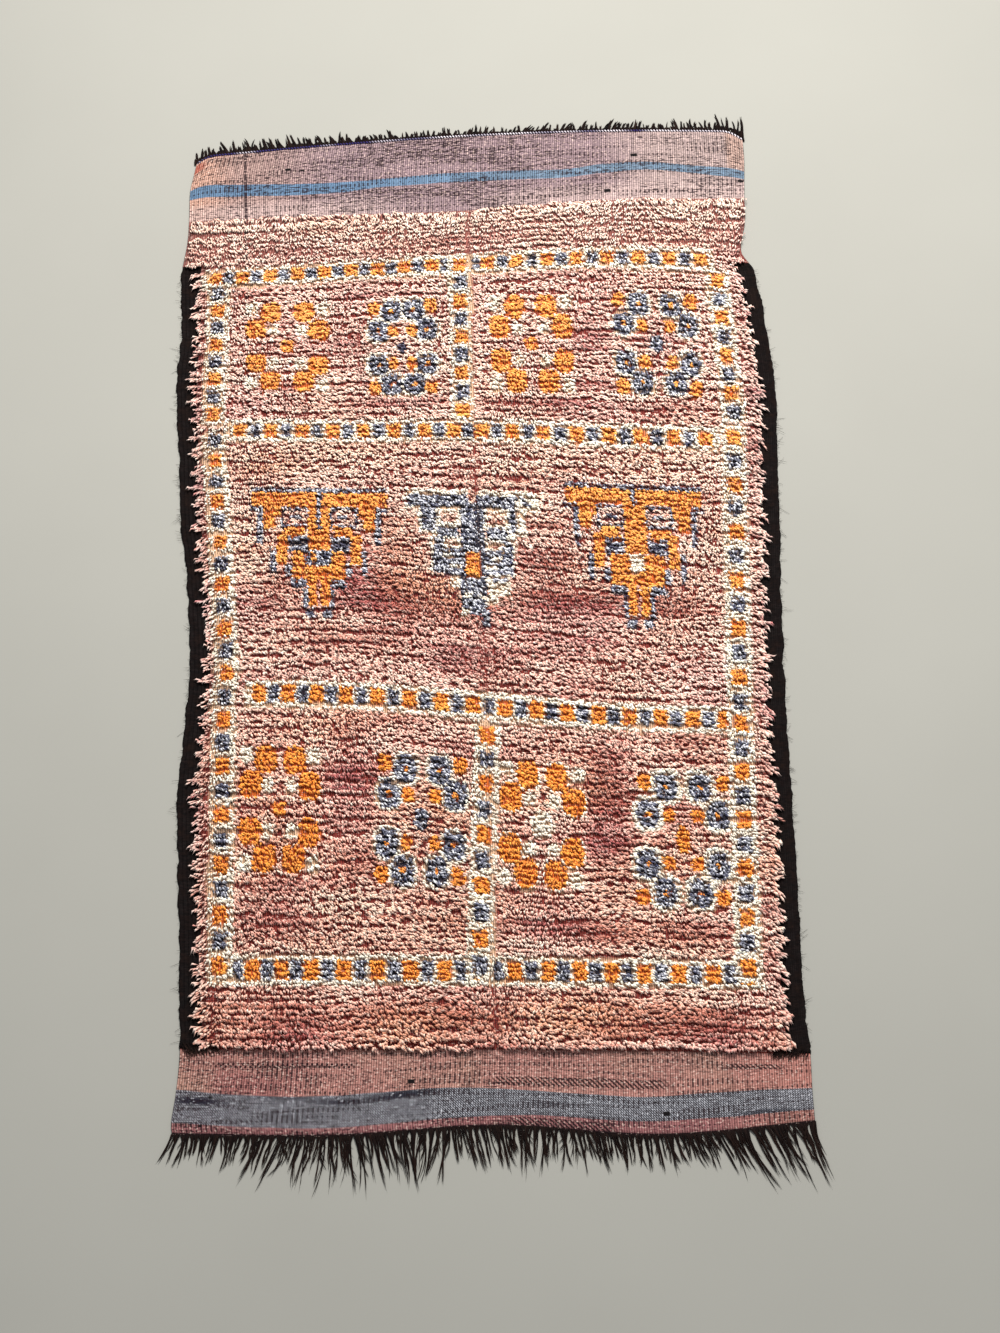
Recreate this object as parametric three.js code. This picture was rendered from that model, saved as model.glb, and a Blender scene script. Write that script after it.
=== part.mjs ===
// A hand-knotted wool rug that lies flat on the floor, long pile up.
// Units are millimetres. +Z is up, +Y runs along the rug towards the end with short tufts.
// The weave is one cloth: flat-woven ends and a thick pile field between them. Dark goat-hair
// selvedges bind the field's two sides, and a dark warp fringe hangs off each end.
import * as THREE from 'three';

// Driving sizes
const WEAVE_THICKNESS = 4;
const PILE_THICKNESS = 18;
const PILE_EDGE_THICKNESS = 12;
const PILE_SHOULDER = 16;
const PILE_RAMP = 12;
const SELVEDGE_WIDTH = 45;
const SELVEDGE_THICKNESS = 6;
const SELVEDGE_RIM = 8;
const SELVEDGE_RIM_THICKNESS = 3.5;
const FRINGE_THICKNESS = 3;
const GAP = 0.3;

// Spacing of the cross-sections along the rug and of the columns inward from each side
const ROW_SPACING = 60;
const COLUMNS_INWARD = [0, PILE_SHOULDER, 50, 110, 180, 260, 340, 420, 500, 580];
const STEP_HALF_LENGTH = 0.2;

// The fold that the rug was stored on runs down its middle as a shallow trough
const FOLD_ACROSS = -6;
const FOLD_DEPTH = 2.5;
const FOLD_HALF_WIDTH = 20;

// Soft waves in the pile field's height, and how far apart they lie
const WAVE_HEIGHT = 0.8;
const WAVE_LENGTH_ALONG = 430;
const WAVE_LENGTH_ACROSS = 390;

// Places along the rug, measured down its middle
const FIELD_START = -1054;
const FIELD_END = 1109;
const CLOTH_START = -1213;
const CLOTH_END = 1335;
const SELVEDGE_START = -1047;
const LEFT_SELVEDGE_END = 984;
const RIGHT_SELVEDGE_END = 940;

// The two long edges. They draw in and out along the rug, and the selvedges stand out from them.
const LONG_EDGES = [
  { along: -1213, left: -655, right: 641 },
  { along: -1192, left: -658, right: 641 },
  { along: -1135, left: -650, right: 641 },
  { along: -1054, left: -644, right: 643 },
  { along: -925, left: -649, right: 640 },
  { along: -780, left: -653, right: 643 },
  { along: -633, left: -660, right: 647 },
  { along: -481, left: -664, right: 650 },
  { along: -330, left: -653, right: 652 },
  { along: -177, left: -645, right: 656 },
  { along: -50, left: -651, right: 660 },
  { along: 88, left: -660, right: 666 },
  { along: 204, left: -675, right: 674 },
  { along: 386, left: -682, right: 682 },
  { along: 500, left: -690, right: 689 },
  { along: 640, left: -693, right: 693 },
  { along: 776, left: -686, right: 684 },
  { along: 860, left: -688, right: 677 },
  { along: 930, left: -690, right: 664 },
  { along: 970, left: -690, right: 641 },
  { along: 1043, left: -679, right: 656 },
  { along: 1105, left: -676, right: 660 },
  { along: 1241, left: -675, right: 667 },
  { along: 1335, left: -662, right: 668 },
];

// How far lines of weft stray from straight: the shift at four places across, against the middle
const WEFT_QUARTER = 330;
const WEFT_LINES = [
  { along: -1213, farLeft: 1, left: -12, right: -30, farRight: -9 },
  { along: -1054, farLeft: 20, left: 8, right: -14, farRight: -30 },
  { along: -871, farLeft: 22, left: 12, right: -16, farRight: -34 },
  { along: -256, farLeft: 50, left: 38, right: -40, farRight: -58 },
  { along: 462, farLeft: 22, left: 10, right: -25, farRight: -50 },
  { along: 936, farLeft: -30, left: -14, right: 7, farRight: -16 },
  { along: 1109, farLeft: -13, left: -7, right: 20, farRight: 15 },
  { along: 1335, farLeft: -45, left: -18, right: 4, farRight: -8 },
];

// The end with short tufts has rounded corners
const CORNER_DROP = 28;
const CORNER_FROM = 0.92;

// The long fringe: pointed locks of warp, longer towards the right, that splay at both corners
const LONG_FRINGE = {
  pitch: 19,
  rootWidth: 15,
  tipWidth: 5,
  spine: 6,
  uneven: 0.14,
  locks: [
    { across: -655, length: 62, lean: -30 },
    { across: -560, length: 74, lean: 4 },
    { across: -470, length: 88, lean: 12 },
    { across: -305, length: 116, lean: 16 },
    { across: -190, length: 124, lean: 10 },
    { across: -57, length: 110, lean: 8 },
    { across: 70, length: 124, lean: 6 },
    { across: 200, length: 76, lean: 4 },
    { across: 400, length: 80, lean: 10 },
    { across: 520, length: 120, lean: 16 },
    { across: 590, length: 140, lean: 22 },
    { across: 641, length: 134, lean: 34 },
  ],
};

// The short fringe: cut warp ends in small tufts
const SHORT_FRINGE = {
  pitch: 21,
  rootWidth: 15,
  tipWidth: 5,
  spine: 6,
  uneven: 0.18,
  locks: [
    { across: -662, length: 34, lean: 8 },
    { across: -580, length: 36, lean: 6 },
    { across: -410, length: 34, lean: -4 },
    { across: -165, length: 24, lean: -5 },
    { across: 80, length: 25, lean: 4 },
    { across: 325, length: 27, lean: 6 },
    { across: 570, length: 36, lean: 4 },
    { across: 668, length: 52, lean: 2 },
  ],
};

// Neighbouring locks of a fringe differ in length by a quick wave that a slow one sways
const LOCK_WAVE = { quick: 2.4, slow: 1.3, sway: 0.7 };

// Smooth value of one column of a table at a key, through every row
function lookUp(table, key, column, at) {
  const last = table.length - 1;
  let row = 0;
  while (row < last - 1 && at > table[row + 1][key]) {
    row += 1;
  }
  const slope = (index) => {
    const before = table[Math.max(index - 1, 0)];
    const after = table[Math.min(index + 1, last)];
    return (after[column] - before[column]) / (after[key] - before[key]);
  };
  const start = table[row];
  const end = table[row + 1];
  const span = end[key] - start[key];
  const t = THREE.MathUtils.clamp((at - start[key]) / span, 0, 1);
  const rise = (end[column] - start[column]) * (3 - 2 * t) * t * t;
  const lift = span * t * (1 - t) * (slope(row) * (1 - t) - slope(row + 1) * t);
  return start[column] + rise + lift;
}

// Where the edge on one side lies; side is -1 for left and 1 for right
function edgeAcross(side, along) {
  return lookUp(LONG_EDGES, 'along', side < 0 ? 'left' : 'right', along);
}

// How far a thread of weft has strayed along the rug at a place across it
function weftShift(across, along) {
  const line = [
    { across: -2 * WEFT_QUARTER, shift: lookUp(WEFT_LINES, 'along', 'farLeft', along) },
    { across: -WEFT_QUARTER, shift: lookUp(WEFT_LINES, 'along', 'left', along) },
    { across: 0, shift: 0 },
    { across: WEFT_QUARTER, shift: lookUp(WEFT_LINES, 'along', 'right', along) },
    { across: 2 * WEFT_QUARTER, shift: lookUp(WEFT_LINES, 'along', 'farRight', along) },
  ];
  const toCorner = (Math.abs(across) / edgeAcross(1, CLOTH_END) - CORNER_FROM) / (1 - CORNER_FROM);
  const nearEnd = THREE.MathUtils.smoothstep(along, FIELD_END, CLOTH_END);
  const drop = CORNER_DROP * nearEnd * Math.max(toCorner, 0) ** 2;
  return lookUp(line, 'across', 'shift', across) - drop;
}

// Plan position of a place on the cloth, named by its distance across and along the rug
function onRug(across, along) {
  return new THREE.Vector2(across, along + weftShift(across, along));
}

// A flat-bottomed sheet on a grid of stations; place gives each station's plan position and height
function sheet(stationsAcross, stationsAlong, place) {
  const columns = stationsAcross.length - 1;
  const rows = stationsAlong.length - 1;
  const geometry = new THREE.BoxGeometry(1, 1, 1, columns, rows, 1);
  const positions = geometry.attributes.position;
  for (let index = 0; index < positions.count; index += 1) {
    const column = Math.round((positions.getX(index) + 0.5) * columns);
    const row = Math.round((positions.getY(index) + 0.5) * rows);
    const { plan, height } = place(stationsAcross[column], stationsAlong[row]);
    positions.setXYZ(index, plan.x, plan.y, positions.getZ(index) > 0 ? height : 0);
  }
  return geometry;
}

// Evenly spaced stations from first to last, no further apart than spacing
function stations(first, last, spacing) {
  const count = Math.ceil((last - first) / spacing);
  return Array.from({ length: count + 1 }, (_, index) => first + ((last - first) * index) / count);
}

// How far up the pile has risen from the flat weave, 0 to 1
function pileRise(along) {
  const atStart = THREE.MathUtils.clamp((along - FIELD_START) / PILE_RAMP, 0, 1);
  const atEnd = THREE.MathUtils.clamp((FIELD_END - along) / PILE_RAMP, 0, 1);
  return Math.min(atStart, atEnd);
}

// Height of the cloth's top: the weave at the ends, and the pile with its fold and waves between
function clothHeight(across, along, fromSide) {
  const wave = Math.sin((2 * Math.PI * along) / WAVE_LENGTH_ALONG)
    * Math.sin((2 * Math.PI * across) / WAVE_LENGTH_ACROSS);
  const fold = Math.max(0, 1 - Math.abs(across - FOLD_ACROSS) / FOLD_HALF_WIDTH);
  const shoulder = Math.min(fromSide / PILE_SHOULDER, 1);
  const edge = PILE_EDGE_THICKNESS + (PILE_THICKNESS - PILE_EDGE_THICKNESS) * shoulder;
  const pile = edge + WAVE_HEIGHT * wave * shoulder - FOLD_DEPTH * fold;
  return THREE.MathUtils.lerp(WEAVE_THICKNESS, pile, pileRise(along));
}

// Where the woven cloth stops on one side: inside the selvedge where there is one
function clothSide(side, along) {
  const selvedgeEnd = side < 0 ? LEFT_SELVEDGE_END : RIGHT_SELVEDGE_END;
  const bound = along > SELVEDGE_START - STEP_CLEAR && along < selvedgeEnd + STEP_CLEAR;
  return edgeAcross(side, along) - (bound ? side * (SELVEDGE_WIDTH + GAP) : 0);
}

// Cross-sections along the rug, with a close pair at each place where a selvedge ends. The cloth
// and the selvedges share them, so that their sides run parallel.
const STEP_CLEAR = GAP + STEP_HALF_LENGTH;
const SELVEDGE_STEPS = [
  SELVEDGE_START - STEP_CLEAR,
  RIGHT_SELVEDGE_END + STEP_CLEAR,
  LEFT_SELVEDGE_END + STEP_CLEAR,
];
const CROSS_SECTIONS = [
  ...stations(CLOTH_START, FIELD_START, ROW_SPACING),
  ...stations(FIELD_START + PILE_RAMP, FIELD_END - PILE_RAMP, ROW_SPACING),
  ...stations(FIELD_END, CLOTH_END, ROW_SPACING),
  ...SELVEDGE_STEPS.flatMap((step) => [step - STEP_HALF_LENGTH, step + STEP_HALF_LENGTH]),
].sort((a, b) => a - b);

// Columns across the cloth: each side's inward distances, and the fold between them
const COLUMNS = [
  ...COLUMNS_INWARD.map((distance) => ({ side: -1, distance })),
  { across: FOLD_ACROSS - FOLD_HALF_WIDTH },
  { across: FOLD_ACROSS },
  { across: FOLD_ACROSS + FOLD_HALF_WIDTH },
  ...COLUMNS_INWARD.map((distance) => ({ side: 1, distance })).reverse(),
];

// Where one column of the cloth lies at a place along the rug
function columnAcross(column, along) {
  if (column.across !== undefined) {
    return column.across;
  }
  return clothSide(column.side, along) - column.side * column.distance;
}

// The woven cloth, one piece from end to end. It steps in beside each selvedge.
function clothGeometry() {
  return sheet(COLUMNS, CROSS_SECTIONS, (column, along) => {
    const across = columnAcross(column, along);
    const fromSide = column.distance ?? Infinity;
    return { plan: onRug(across, along), height: clothHeight(across, along, fromSide) };
  });
}

// One selvedge: a flat band of wrapped dark warps beside the pile field
function selvedgeGeometry(side, end) {
  const distances = [0, SELVEDGE_RIM, SELVEDGE_WIDTH - SELVEDGE_RIM, SELVEDGE_WIDTH];
  const columns = side < 0 ? distances : distances.slice().reverse();
  const rows = CROSS_SECTIONS.filter((along) => along > SELVEDGE_START && along < end);
  return sheet(columns, [SELVEDGE_START, ...rows, end], (distance, row) => {
    const rim = distance === 0 || distance === SELVEDGE_WIDTH;
    const height = rim ? SELVEDGE_RIM_THICKNESS : SELVEDGE_THICKNESS;
    return { plan: onRug(edgeAcross(side, row) - side * distance, row), height };
  });
}

// A fringe: a comb whose back follows the cloth's end and whose teeth are locks of warp.
// direction is 1 where the locks point along +Y and -1 where they point along -Y.
function fringeGeometry(fringe, end, direction) {
  const acrossEnd = COLUMNS.map((column) => columnAcross(column, end));
  const backOf = (across) => onRug(across, end).y + direction * GAP;
  const back = acrossEnd.map((across) => new THREE.Vector2(across, backOf(across)));
  const first = acrossEnd[0] + fringe.rootWidth / 2;
  const last = acrossEnd.at(-1) - fringe.rootWidth / 2;
  const centres = stations(first, last, fringe.pitch);
  const teeth = centres.flatMap((centre, index) => {
    const sway = LOCK_WAVE.sway * Math.sin(LOCK_WAVE.slow * index);
    const uneven = 1 + fringe.uneven * Math.sin(LOCK_WAVE.quick * index + sway);
    const length = lookUp(fringe.locks, 'across', 'length', centre) * uneven;
    const lean = lookUp(fringe.locks, 'across', 'lean', centre) * uneven;
    const half = fringe.rootWidth / 2;
    const halfTip = fringe.tipWidth / 2;
    const root = (across) => new THREE.Vector2(across, backOf(across) + direction * fringe.spine);
    const tip = (across) => new THREE.Vector2(across + lean, backOf(centre) + direction * length);
    return [root(centre - half), tip(centre - halfTip), tip(centre + halfTip), root(centre + half)];
  });
  const outline = new THREE.Shape([...teeth, ...back.reverse()]);
  return new THREE.ExtrudeGeometry(outline, { depth: FRINGE_THICKNESS, bevelEnabled: false });
}

// One named piece with its own material
function piece(name, geometry, color) {
  const material = new THREE.MeshStandardMaterial({ color, roughness: 0.95, metalness: 0 });
  const mesh = new THREE.Mesh(geometry, material);
  mesh.name = name;
  return mesh;
}

const ROSE_WOOL = 0xc8917f;
const GOAT_HAIR = 0x2b2020;

const group = new THREE.Group();
group.add(
  piece('rug_cloth', clothGeometry(), ROSE_WOOL),
  piece('left_selvedge', selvedgeGeometry(-1, LEFT_SELVEDGE_END), GOAT_HAIR),
  piece('right_selvedge', selvedgeGeometry(1, RIGHT_SELVEDGE_END), GOAT_HAIR),
  piece('short_fringe', fringeGeometry(SHORT_FRINGE, CLOTH_END, 1), GOAT_HAIR),
  piece('long_fringe', fringeGeometry(LONG_FRINGE, CLOTH_START, -1), GOAT_HAIR),
);

// The origin is the middle of the rug's box, on the floor
const box = new THREE.Box3().setFromObject(group);
const centre = box.getCenter(new THREE.Vector3());
group.position.set(-centre.x, -centre.y, -box.min.z);

export default group;
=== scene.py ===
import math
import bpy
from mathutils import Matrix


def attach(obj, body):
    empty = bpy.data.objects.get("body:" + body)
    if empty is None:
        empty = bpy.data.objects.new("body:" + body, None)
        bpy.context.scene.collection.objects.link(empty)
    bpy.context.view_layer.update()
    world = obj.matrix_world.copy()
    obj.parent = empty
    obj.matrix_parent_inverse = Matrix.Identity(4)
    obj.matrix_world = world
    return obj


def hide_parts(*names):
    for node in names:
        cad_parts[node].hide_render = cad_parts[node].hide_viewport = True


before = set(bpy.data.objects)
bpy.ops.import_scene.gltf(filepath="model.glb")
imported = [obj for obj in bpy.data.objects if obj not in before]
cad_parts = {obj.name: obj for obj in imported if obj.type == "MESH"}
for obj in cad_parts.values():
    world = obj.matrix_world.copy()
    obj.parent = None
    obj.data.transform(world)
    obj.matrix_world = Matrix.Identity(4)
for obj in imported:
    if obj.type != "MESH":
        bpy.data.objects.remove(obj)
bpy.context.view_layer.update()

# A hand-knotted wool rug lying flat: a thick rose pile field with borders of squares, rosettes
# and three hanging amulets, between flat-woven ends, with goat-hair selvedges and fringes.
# Tables and sizes are in millimetres, across and along the cloth, and make_piece turns them
# into metres. "across" grows to the right, "along" grows towards the end with short tufts.
# Materials, floor, light and camera are laid out in metres.
from types import SimpleNamespace

import bpy
import numpy as np
from mathutils import Vector

MM = 0.001

# The cloth's own middle lies this far from the frame's origin
PLAN_SHIFT = 0.8

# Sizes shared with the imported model
WEAVE_THICKNESS = 4
FIELD_WEAVE_THICKNESS = 3
SELVEDGE_WIDTH = 45
GAP = 0.3
STEP_CLEAR = 0.5
FIELD_START = -1054
FIELD_END = 1109
CLOTH_START = -1213
CLOTH_END = 1335
SELVEDGE_START = -1047
SELVEDGE_ENDS = {-1: 984, 1: 940}
CORNER_DROP = 28
CORNER_FROM = 0.92
WEFT_QUARTER = 330


def table(columns, *rows):
    """A table with named columns, one array a column"""
    return dict(zip(columns.split(), np.array(rows, float).T))


# The two long edges, selvedges included
LONG_EDGES = table(
    "along left right",
    (-1213, -655, 641), (-1192, -658, 641), (-1135, -650, 641), (-1054, -644, 643),
    (-925, -649, 640), (-780, -653, 643), (-633, -660, 647), (-481, -664, 650),
    (-330, -653, 652), (-177, -645, 656), (-50, -651, 660), (88, -660, 666),
    (204, -675, 674), (386, -682, 682), (500, -690, 689), (640, -693, 693),
    (776, -686, 684), (860, -688, 677), (930, -690, 664), (970, -690, 641),
    (1043, -679, 656), (1105, -676, 660), (1241, -675, 667), (1335, -662, 668),
)

# How far lines of weft have strayed along the rug, at even steps across it
WEFT_LINES = table(
    "along far_left left middle right far_right",
    (-1213, 1, -12, 0, -30, -9), (-1054, 20, 8, 0, -14, -30), (-871, 22, 12, 0, -16, -34),
    (-256, 50, 38, 0, -40, -58), (462, 22, 10, 0, -25, -50), (936, -30, -14, 0, 7, -16),
    (1109, -13, -7, 0, 20, 15), (1335, -45, -18, 0, 4, -8),
)

# The woven stripe at each end: its middle and half width
TOP_STRIPE = table(
    "across middle half",
    (-662, 1209, 23), (-536, 1199, 20), (-438, 1194, 19), (-312, 1193, 16), (-217, 1200, 13),
    (-50, 1206, 14), (120, 1202, 14), (221, 1196, 13), (325, 1206, 15), (430, 1212, 13),
    (533, 1200, 13), (603, 1191, 15), (668, 1183, 16),
)
BOTTOM_STRIPE = table(
    "across middle half",
    (-655, -1159, 32), (-575, -1164, 30), (-485, -1167, 29), (-370, -1168, 30), (-235, -1164, 31),
    (-120, -1161, 32), (0, -1162, 29), (105, -1162, 25), (200, -1163, 24), (330, -1162, 23),
    (475, -1157, 26), (640, -1157, 27),
)

# The storage fold down the middle
CREASE = table("along across", (-1053, 2), (-39, -3), (548, -14), (833, -8), (1335, -8))


def smooth_between(keys, values, at):
    """Smooth value at each place; a key's row of values may hold one value for each place"""
    at = np.asarray(at, float)
    places = at.ravel()
    values = np.asarray(values, float).reshape(len(keys), -1)
    values = np.broadcast_to(values, (len(keys), places.size))
    last = len(keys) - 1
    before = np.maximum(np.arange(last + 1) - 1, 0)
    after = np.minimum(np.arange(last + 1) + 1, last)
    slopes = (values[after] - values[before]) / (keys[after] - keys[before])[:, None]
    row = np.clip(np.searchsorted(keys, places) - 1, 0, last - 1)
    column = np.arange(places.size)
    start = values[row, column]
    end = values[row + 1, column]
    span = keys[row + 1] - keys[row]
    t = np.clip((places - keys[row]) / span, 0, 1)
    rise = (end - start) * (3 - 2 * t) * t * t
    bend = slopes[row, column] * (1 - t) - slopes[row + 1, column] * t
    return (start + rise + span * t * (1 - t) * bend).reshape(at.shape)


def look_up(rows, column, at):
    """Smooth value of a table's column, by its first column"""
    keys = next(iter(rows.values()))
    return smooth_between(keys, rows[column], at)


def blend_from(start, end, at):
    """0 at start, 1 at end and smooth between"""
    t = np.clip((np.asarray(at, float) - start) / (end - start), 0, 1)
    return t * t * (3 - 2 * t)


def edge_across(side, along):
    """Where the rug's long edge lies; side is -1 for left and 1 for right"""
    return look_up(LONG_EDGES, "left" if side < 0 else "right", along)


def cloth_side(side, along):
    """Where the woven cloth stops on one side: inside the selvedge where there is one"""
    along = np.asarray(along, float)
    bound = (along > SELVEDGE_START - STEP_CLEAR) & (along < SELVEDGE_ENDS[side] + STEP_CLEAR)
    return edge_across(side, along) - np.where(bound, side * (SELVEDGE_WIDTH + GAP), 0)


def weft_shift(across, along):
    """How far a thread of weft has strayed along the rug"""
    across, along = np.broadcast_arrays(np.asarray(across, float), np.asarray(along, float))
    lines = [look_up(WEFT_LINES, name, along).ravel() for name in list(WEFT_LINES)[1:]]
    shift = smooth_between(WEFT_QUARTER * np.arange(-2.0, 3.0), np.stack(lines), across)
    to_corner = (np.abs(across) / LONG_EDGES["right"][-1] - CORNER_FROM) / (1 - CORNER_FROM)
    near_end = blend_from(FIELD_END, CLOTH_END, along)
    return shift - CORNER_DROP * near_end * np.maximum(to_corner, 0) ** 2


def on_rug(across, along, height):
    """Points in the frame, in millimetres, from places on the cloth"""
    across, along, height = np.broadcast_arrays(across, along, height)
    return np.stack([across, along + weft_shift(across, along) + PLAN_SHIFT, height], -1)


def drift(rng, reach):
    """A smooth random field over the rug, mostly within 1, that changes over about reach"""
    waves = 9
    shortest, longest = 1.6, 4.5
    calm = 0.7
    turns = rng.uniform(0, math.tau, waves)
    steps = math.tau / (reach * rng.uniform(shortest, longest, waves))
    phases = rng.uniform(0, math.tau, waves)

    def field(across, along):
        total = 0
        for turn, step, phase in zip(turns, steps, phases):
            total = total + np.sin(step * (across * math.cos(turn) + along * math.sin(turn)) + phase)
        return total * math.sqrt(2 / waves) * calm

    return field


def srgb(red, green, blue):
    """Linear colour from everyday 0 to 255 levels"""
    level = np.array([red, green, blue], float) / 255
    return np.where(level <= 0.04045, level / 12.92, ((level + 0.055) / 1.055) ** 2.4)


# Each dye's colours: the felted feet of the pile, a pile end's root (partly unfaded wool, partly painted
# shade), body and faded tip
DYE_PARTS = ("felt", "gap", "body", "tip")
DYE_LEVELS = {
    "rose": ((108, 42, 36), (186, 80, 64), (255, 187, 168), (255, 234, 218)),
    "orange": ((176, 84, 32), (212, 106, 38), (255, 160, 74), (255, 194, 126)),
    "indigo": ((30, 28, 38), (24, 22, 36), (68, 70, 96), (234, 234, 240)),
    "navy": ((14, 12, 22), (16, 12, 24), (50, 48, 66), (130, 128, 146)),
    "cream": ((190, 154, 124), (208, 176, 150), (250, 234, 212), (255, 248, 236)),
}
DYES = {name: {part: srgb(*level) for part, level in zip(DYE_PARTS, levels)}
        for name, levels in DYE_LEVELS.items()}
DYE_NAMES = list(DYES)
ORANGE = DYE_NAMES.index("orange")
INDIGO = DYE_NAMES.index("indigo")
CREAM = DYE_NAMES.index("cream")

# The rose where it is deep, faded or of another cast, the painted shade at its roots where it is deep or
# pale, its faded felt, and the goat hair
ROSE_DEEP = srgb(148, 44, 48)
ROSE_SHADE = srgb(62, 12, 20)
ROSE_SHADE_PALE = srgb(216, 136, 112)
FELT_FADED = srgb(128, 84, 76)
ROSE_PALE = srgb(252, 208, 190)
ROSE_PEACH = srgb(240, 176, 132)
ROSE_MAUVE = srgb(222, 150, 156)
GOAT_HAIR_DARK = srgb(14, 9, 9)
GOAT_HAIR_BROWN = srgb(56, 38, 31)


# Meshes

def add_object(name, data):
    """A new object in the scene, at the origin"""
    added = bpy.data.objects.new(name, data)
    bpy.context.scene.collection.objects.link(added)
    return added


def make_piece(name, points, corners, sizes):
    """A smooth-shaded mesh object from points in millimetres and each face's corners"""
    mesh = bpy.data.meshes.new(name)
    mesh.vertices.add(len(points))
    mesh.vertices.foreach_set("co", (points * MM).astype(np.float32).ravel())
    mesh.loops.add(len(corners))
    mesh.loops.foreach_set("vertex_index", np.asarray(corners, np.int32))
    mesh.polygons.add(len(sizes))
    starts = np.cumsum(sizes) - sizes
    mesh.polygons.foreach_set("loop_start", starts.astype(np.int32))
    mesh.polygons.foreach_set("use_smooth", np.ones(len(sizes), bool))
    mesh.update(calc_edges=True)
    return add_object(name, mesh)


def add_vectors(piece, name, values):
    """Keeps a vector with each point of a piece"""
    layer = piece.data.attributes.new(name, "FLOAT_VECTOR", "POINT")
    layer.data.foreach_set("vector", values.astype(np.float32).ravel())


def add_dyes(piece, colours):
    """Keeps a colour with each point of a piece"""
    layer = piece.data.attributes.new("dye", "FLOAT_COLOR", "POINT")
    opaque = np.hstack([colours, np.ones((len(colours), 1))])
    layer.data.foreach_set("color", opaque.astype(np.float32).ravel())


def add_bake_map(piece, places):
    """Lays every face's corners out flat, for a texture baked later"""
    layer = piece.data.uv_layers.new(name="OFBake")
    layer.data.foreach_set("uv", np.asarray(places, np.float32).ravel())


def strand_template(rings, sides, pointed_root):
    """Corners, face sizes and flat layout of one closed strand with a pointed tip"""
    flat_root_room = 0.12
    room = 1 / (rings + 1) if pointed_root else flat_root_room
    tip = rings * sides
    root = tip + 1
    faces = []

    def corner(ring, side):
        """A point of a ring and its place in the flat layout"""
        return ring * sides + side % sides, (side / sides, room + (1 - room) * ring / rings)

    for ring in range(rings - 1):
        for side in range(sides):
            low = [corner(ring, side), corner(ring, side + 1)]
            faces.append(low + [corner(ring + 1, side + 1), corner(ring + 1, side)])
    for side in range(sides):
        peak = (tip, ((side + 0.5) / sides, 1))
        faces.append([corner(rings - 1, side), corner(rings - 1, side + 1), peak])
    if pointed_root:
        for side in range(sides):
            peak = (root, ((side + 0.5) / sides, 0))
            faces.append([corner(0, side + 1), corner(0, side), peak])
    else:
        angles = [math.tau * side / sides for side in range(sides)]
        base = [(side, (0.5 + 0.4 * math.cos(angle), room * (0.4 + 0.3 * math.sin(angle))))
                for side, angle in enumerate(angles)]
        faces.append(base[::-1])
    corners, places = zip(*(corner for face in faces for corner in face))
    return np.array(corners), np.array([len(face) for face in faces]), np.array(places)


def strands(name, centres, radii, sideways, dye, rng, sides=4, widening=1.0, pointed_root=False):
    """One piece made of many closed strands. centres is strands by stations by 3 and its last
    station is the tip; radii and dye have a value for each station too. widening makes each
    strand that much wider than thick, and with pointed_root the first station is a point too."""
    count, stations = centres.shape[:2]
    ringed = slice(int(pointed_root), stations - 1)
    rings = ringed.stop - ringed.start

    def per_point(values):
        """The stations' values at the points of the rings, the tip and a pointed root"""
        ends = [values[:, -1:], values[:, :1]][:1 + pointed_root]
        return np.concatenate([np.repeat(values[:, ringed], sides, axis=1), *ends], axis=1)

    tangent = np.gradient(centres, axis=1)[:, ringed]
    tangent /= np.linalg.norm(tangent, axis=2, keepdims=True)
    normal = np.cross(tangent, sideways[:, None])
    normal /= np.linalg.norm(normal, axis=2, keepdims=True)
    beside = np.cross(normal, tangent)
    angles = math.tau * (np.arange(sides) + 0.5) / sides
    circle = np.stack([np.cos(angles), np.sin(angles)], -1)
    out = radii[:, ringed, None, None]
    turn = widening * circle[:, :1] * beside[:, :, None] + circle[:, 1:] * normal[:, :, None]
    points = per_point(centres)
    points[:, :rings * sides] += (out * turn).reshape(count, -1, 3)

    corners, sizes, places = strand_template(rings, sides, pointed_root)
    per_strand = points.shape[1]
    all_corners = corners + per_strand * np.arange(count)[:, None]
    piece = make_piece(name, points.reshape(-1, 3), all_corners.ravel(), np.tile(sizes, count))
    add_dyes(piece, per_point(dye).reshape(-1, 3))

    cells = math.ceil(math.sqrt(count))
    cell = np.stack([np.arange(count) % cells, np.arange(count) // cells], -1)
    margin = 0.06
    add_bake_map(piece, (cell[:, None] + margin + (1 - 2 * margin) * places) / cells)

    lengths = np.linalg.norm(np.diff(centres, axis=1), axis=2)
    run = np.cumsum(np.pad(lengths, ((0, 0), (1, 0))), axis=1)
    unbent = np.zeros((count, per_strand, 3))
    unbent[:, :rings * sides, :2] = (out * circle).reshape(count, -1, 2)
    unbent[:, :, 2:] = per_point(run[..., None])
    unbent += rng.uniform(0, 900, (count, 1, 3))
    add_vectors(piece, "strand", unbent * MM)
    return piece


# Materials

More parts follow.
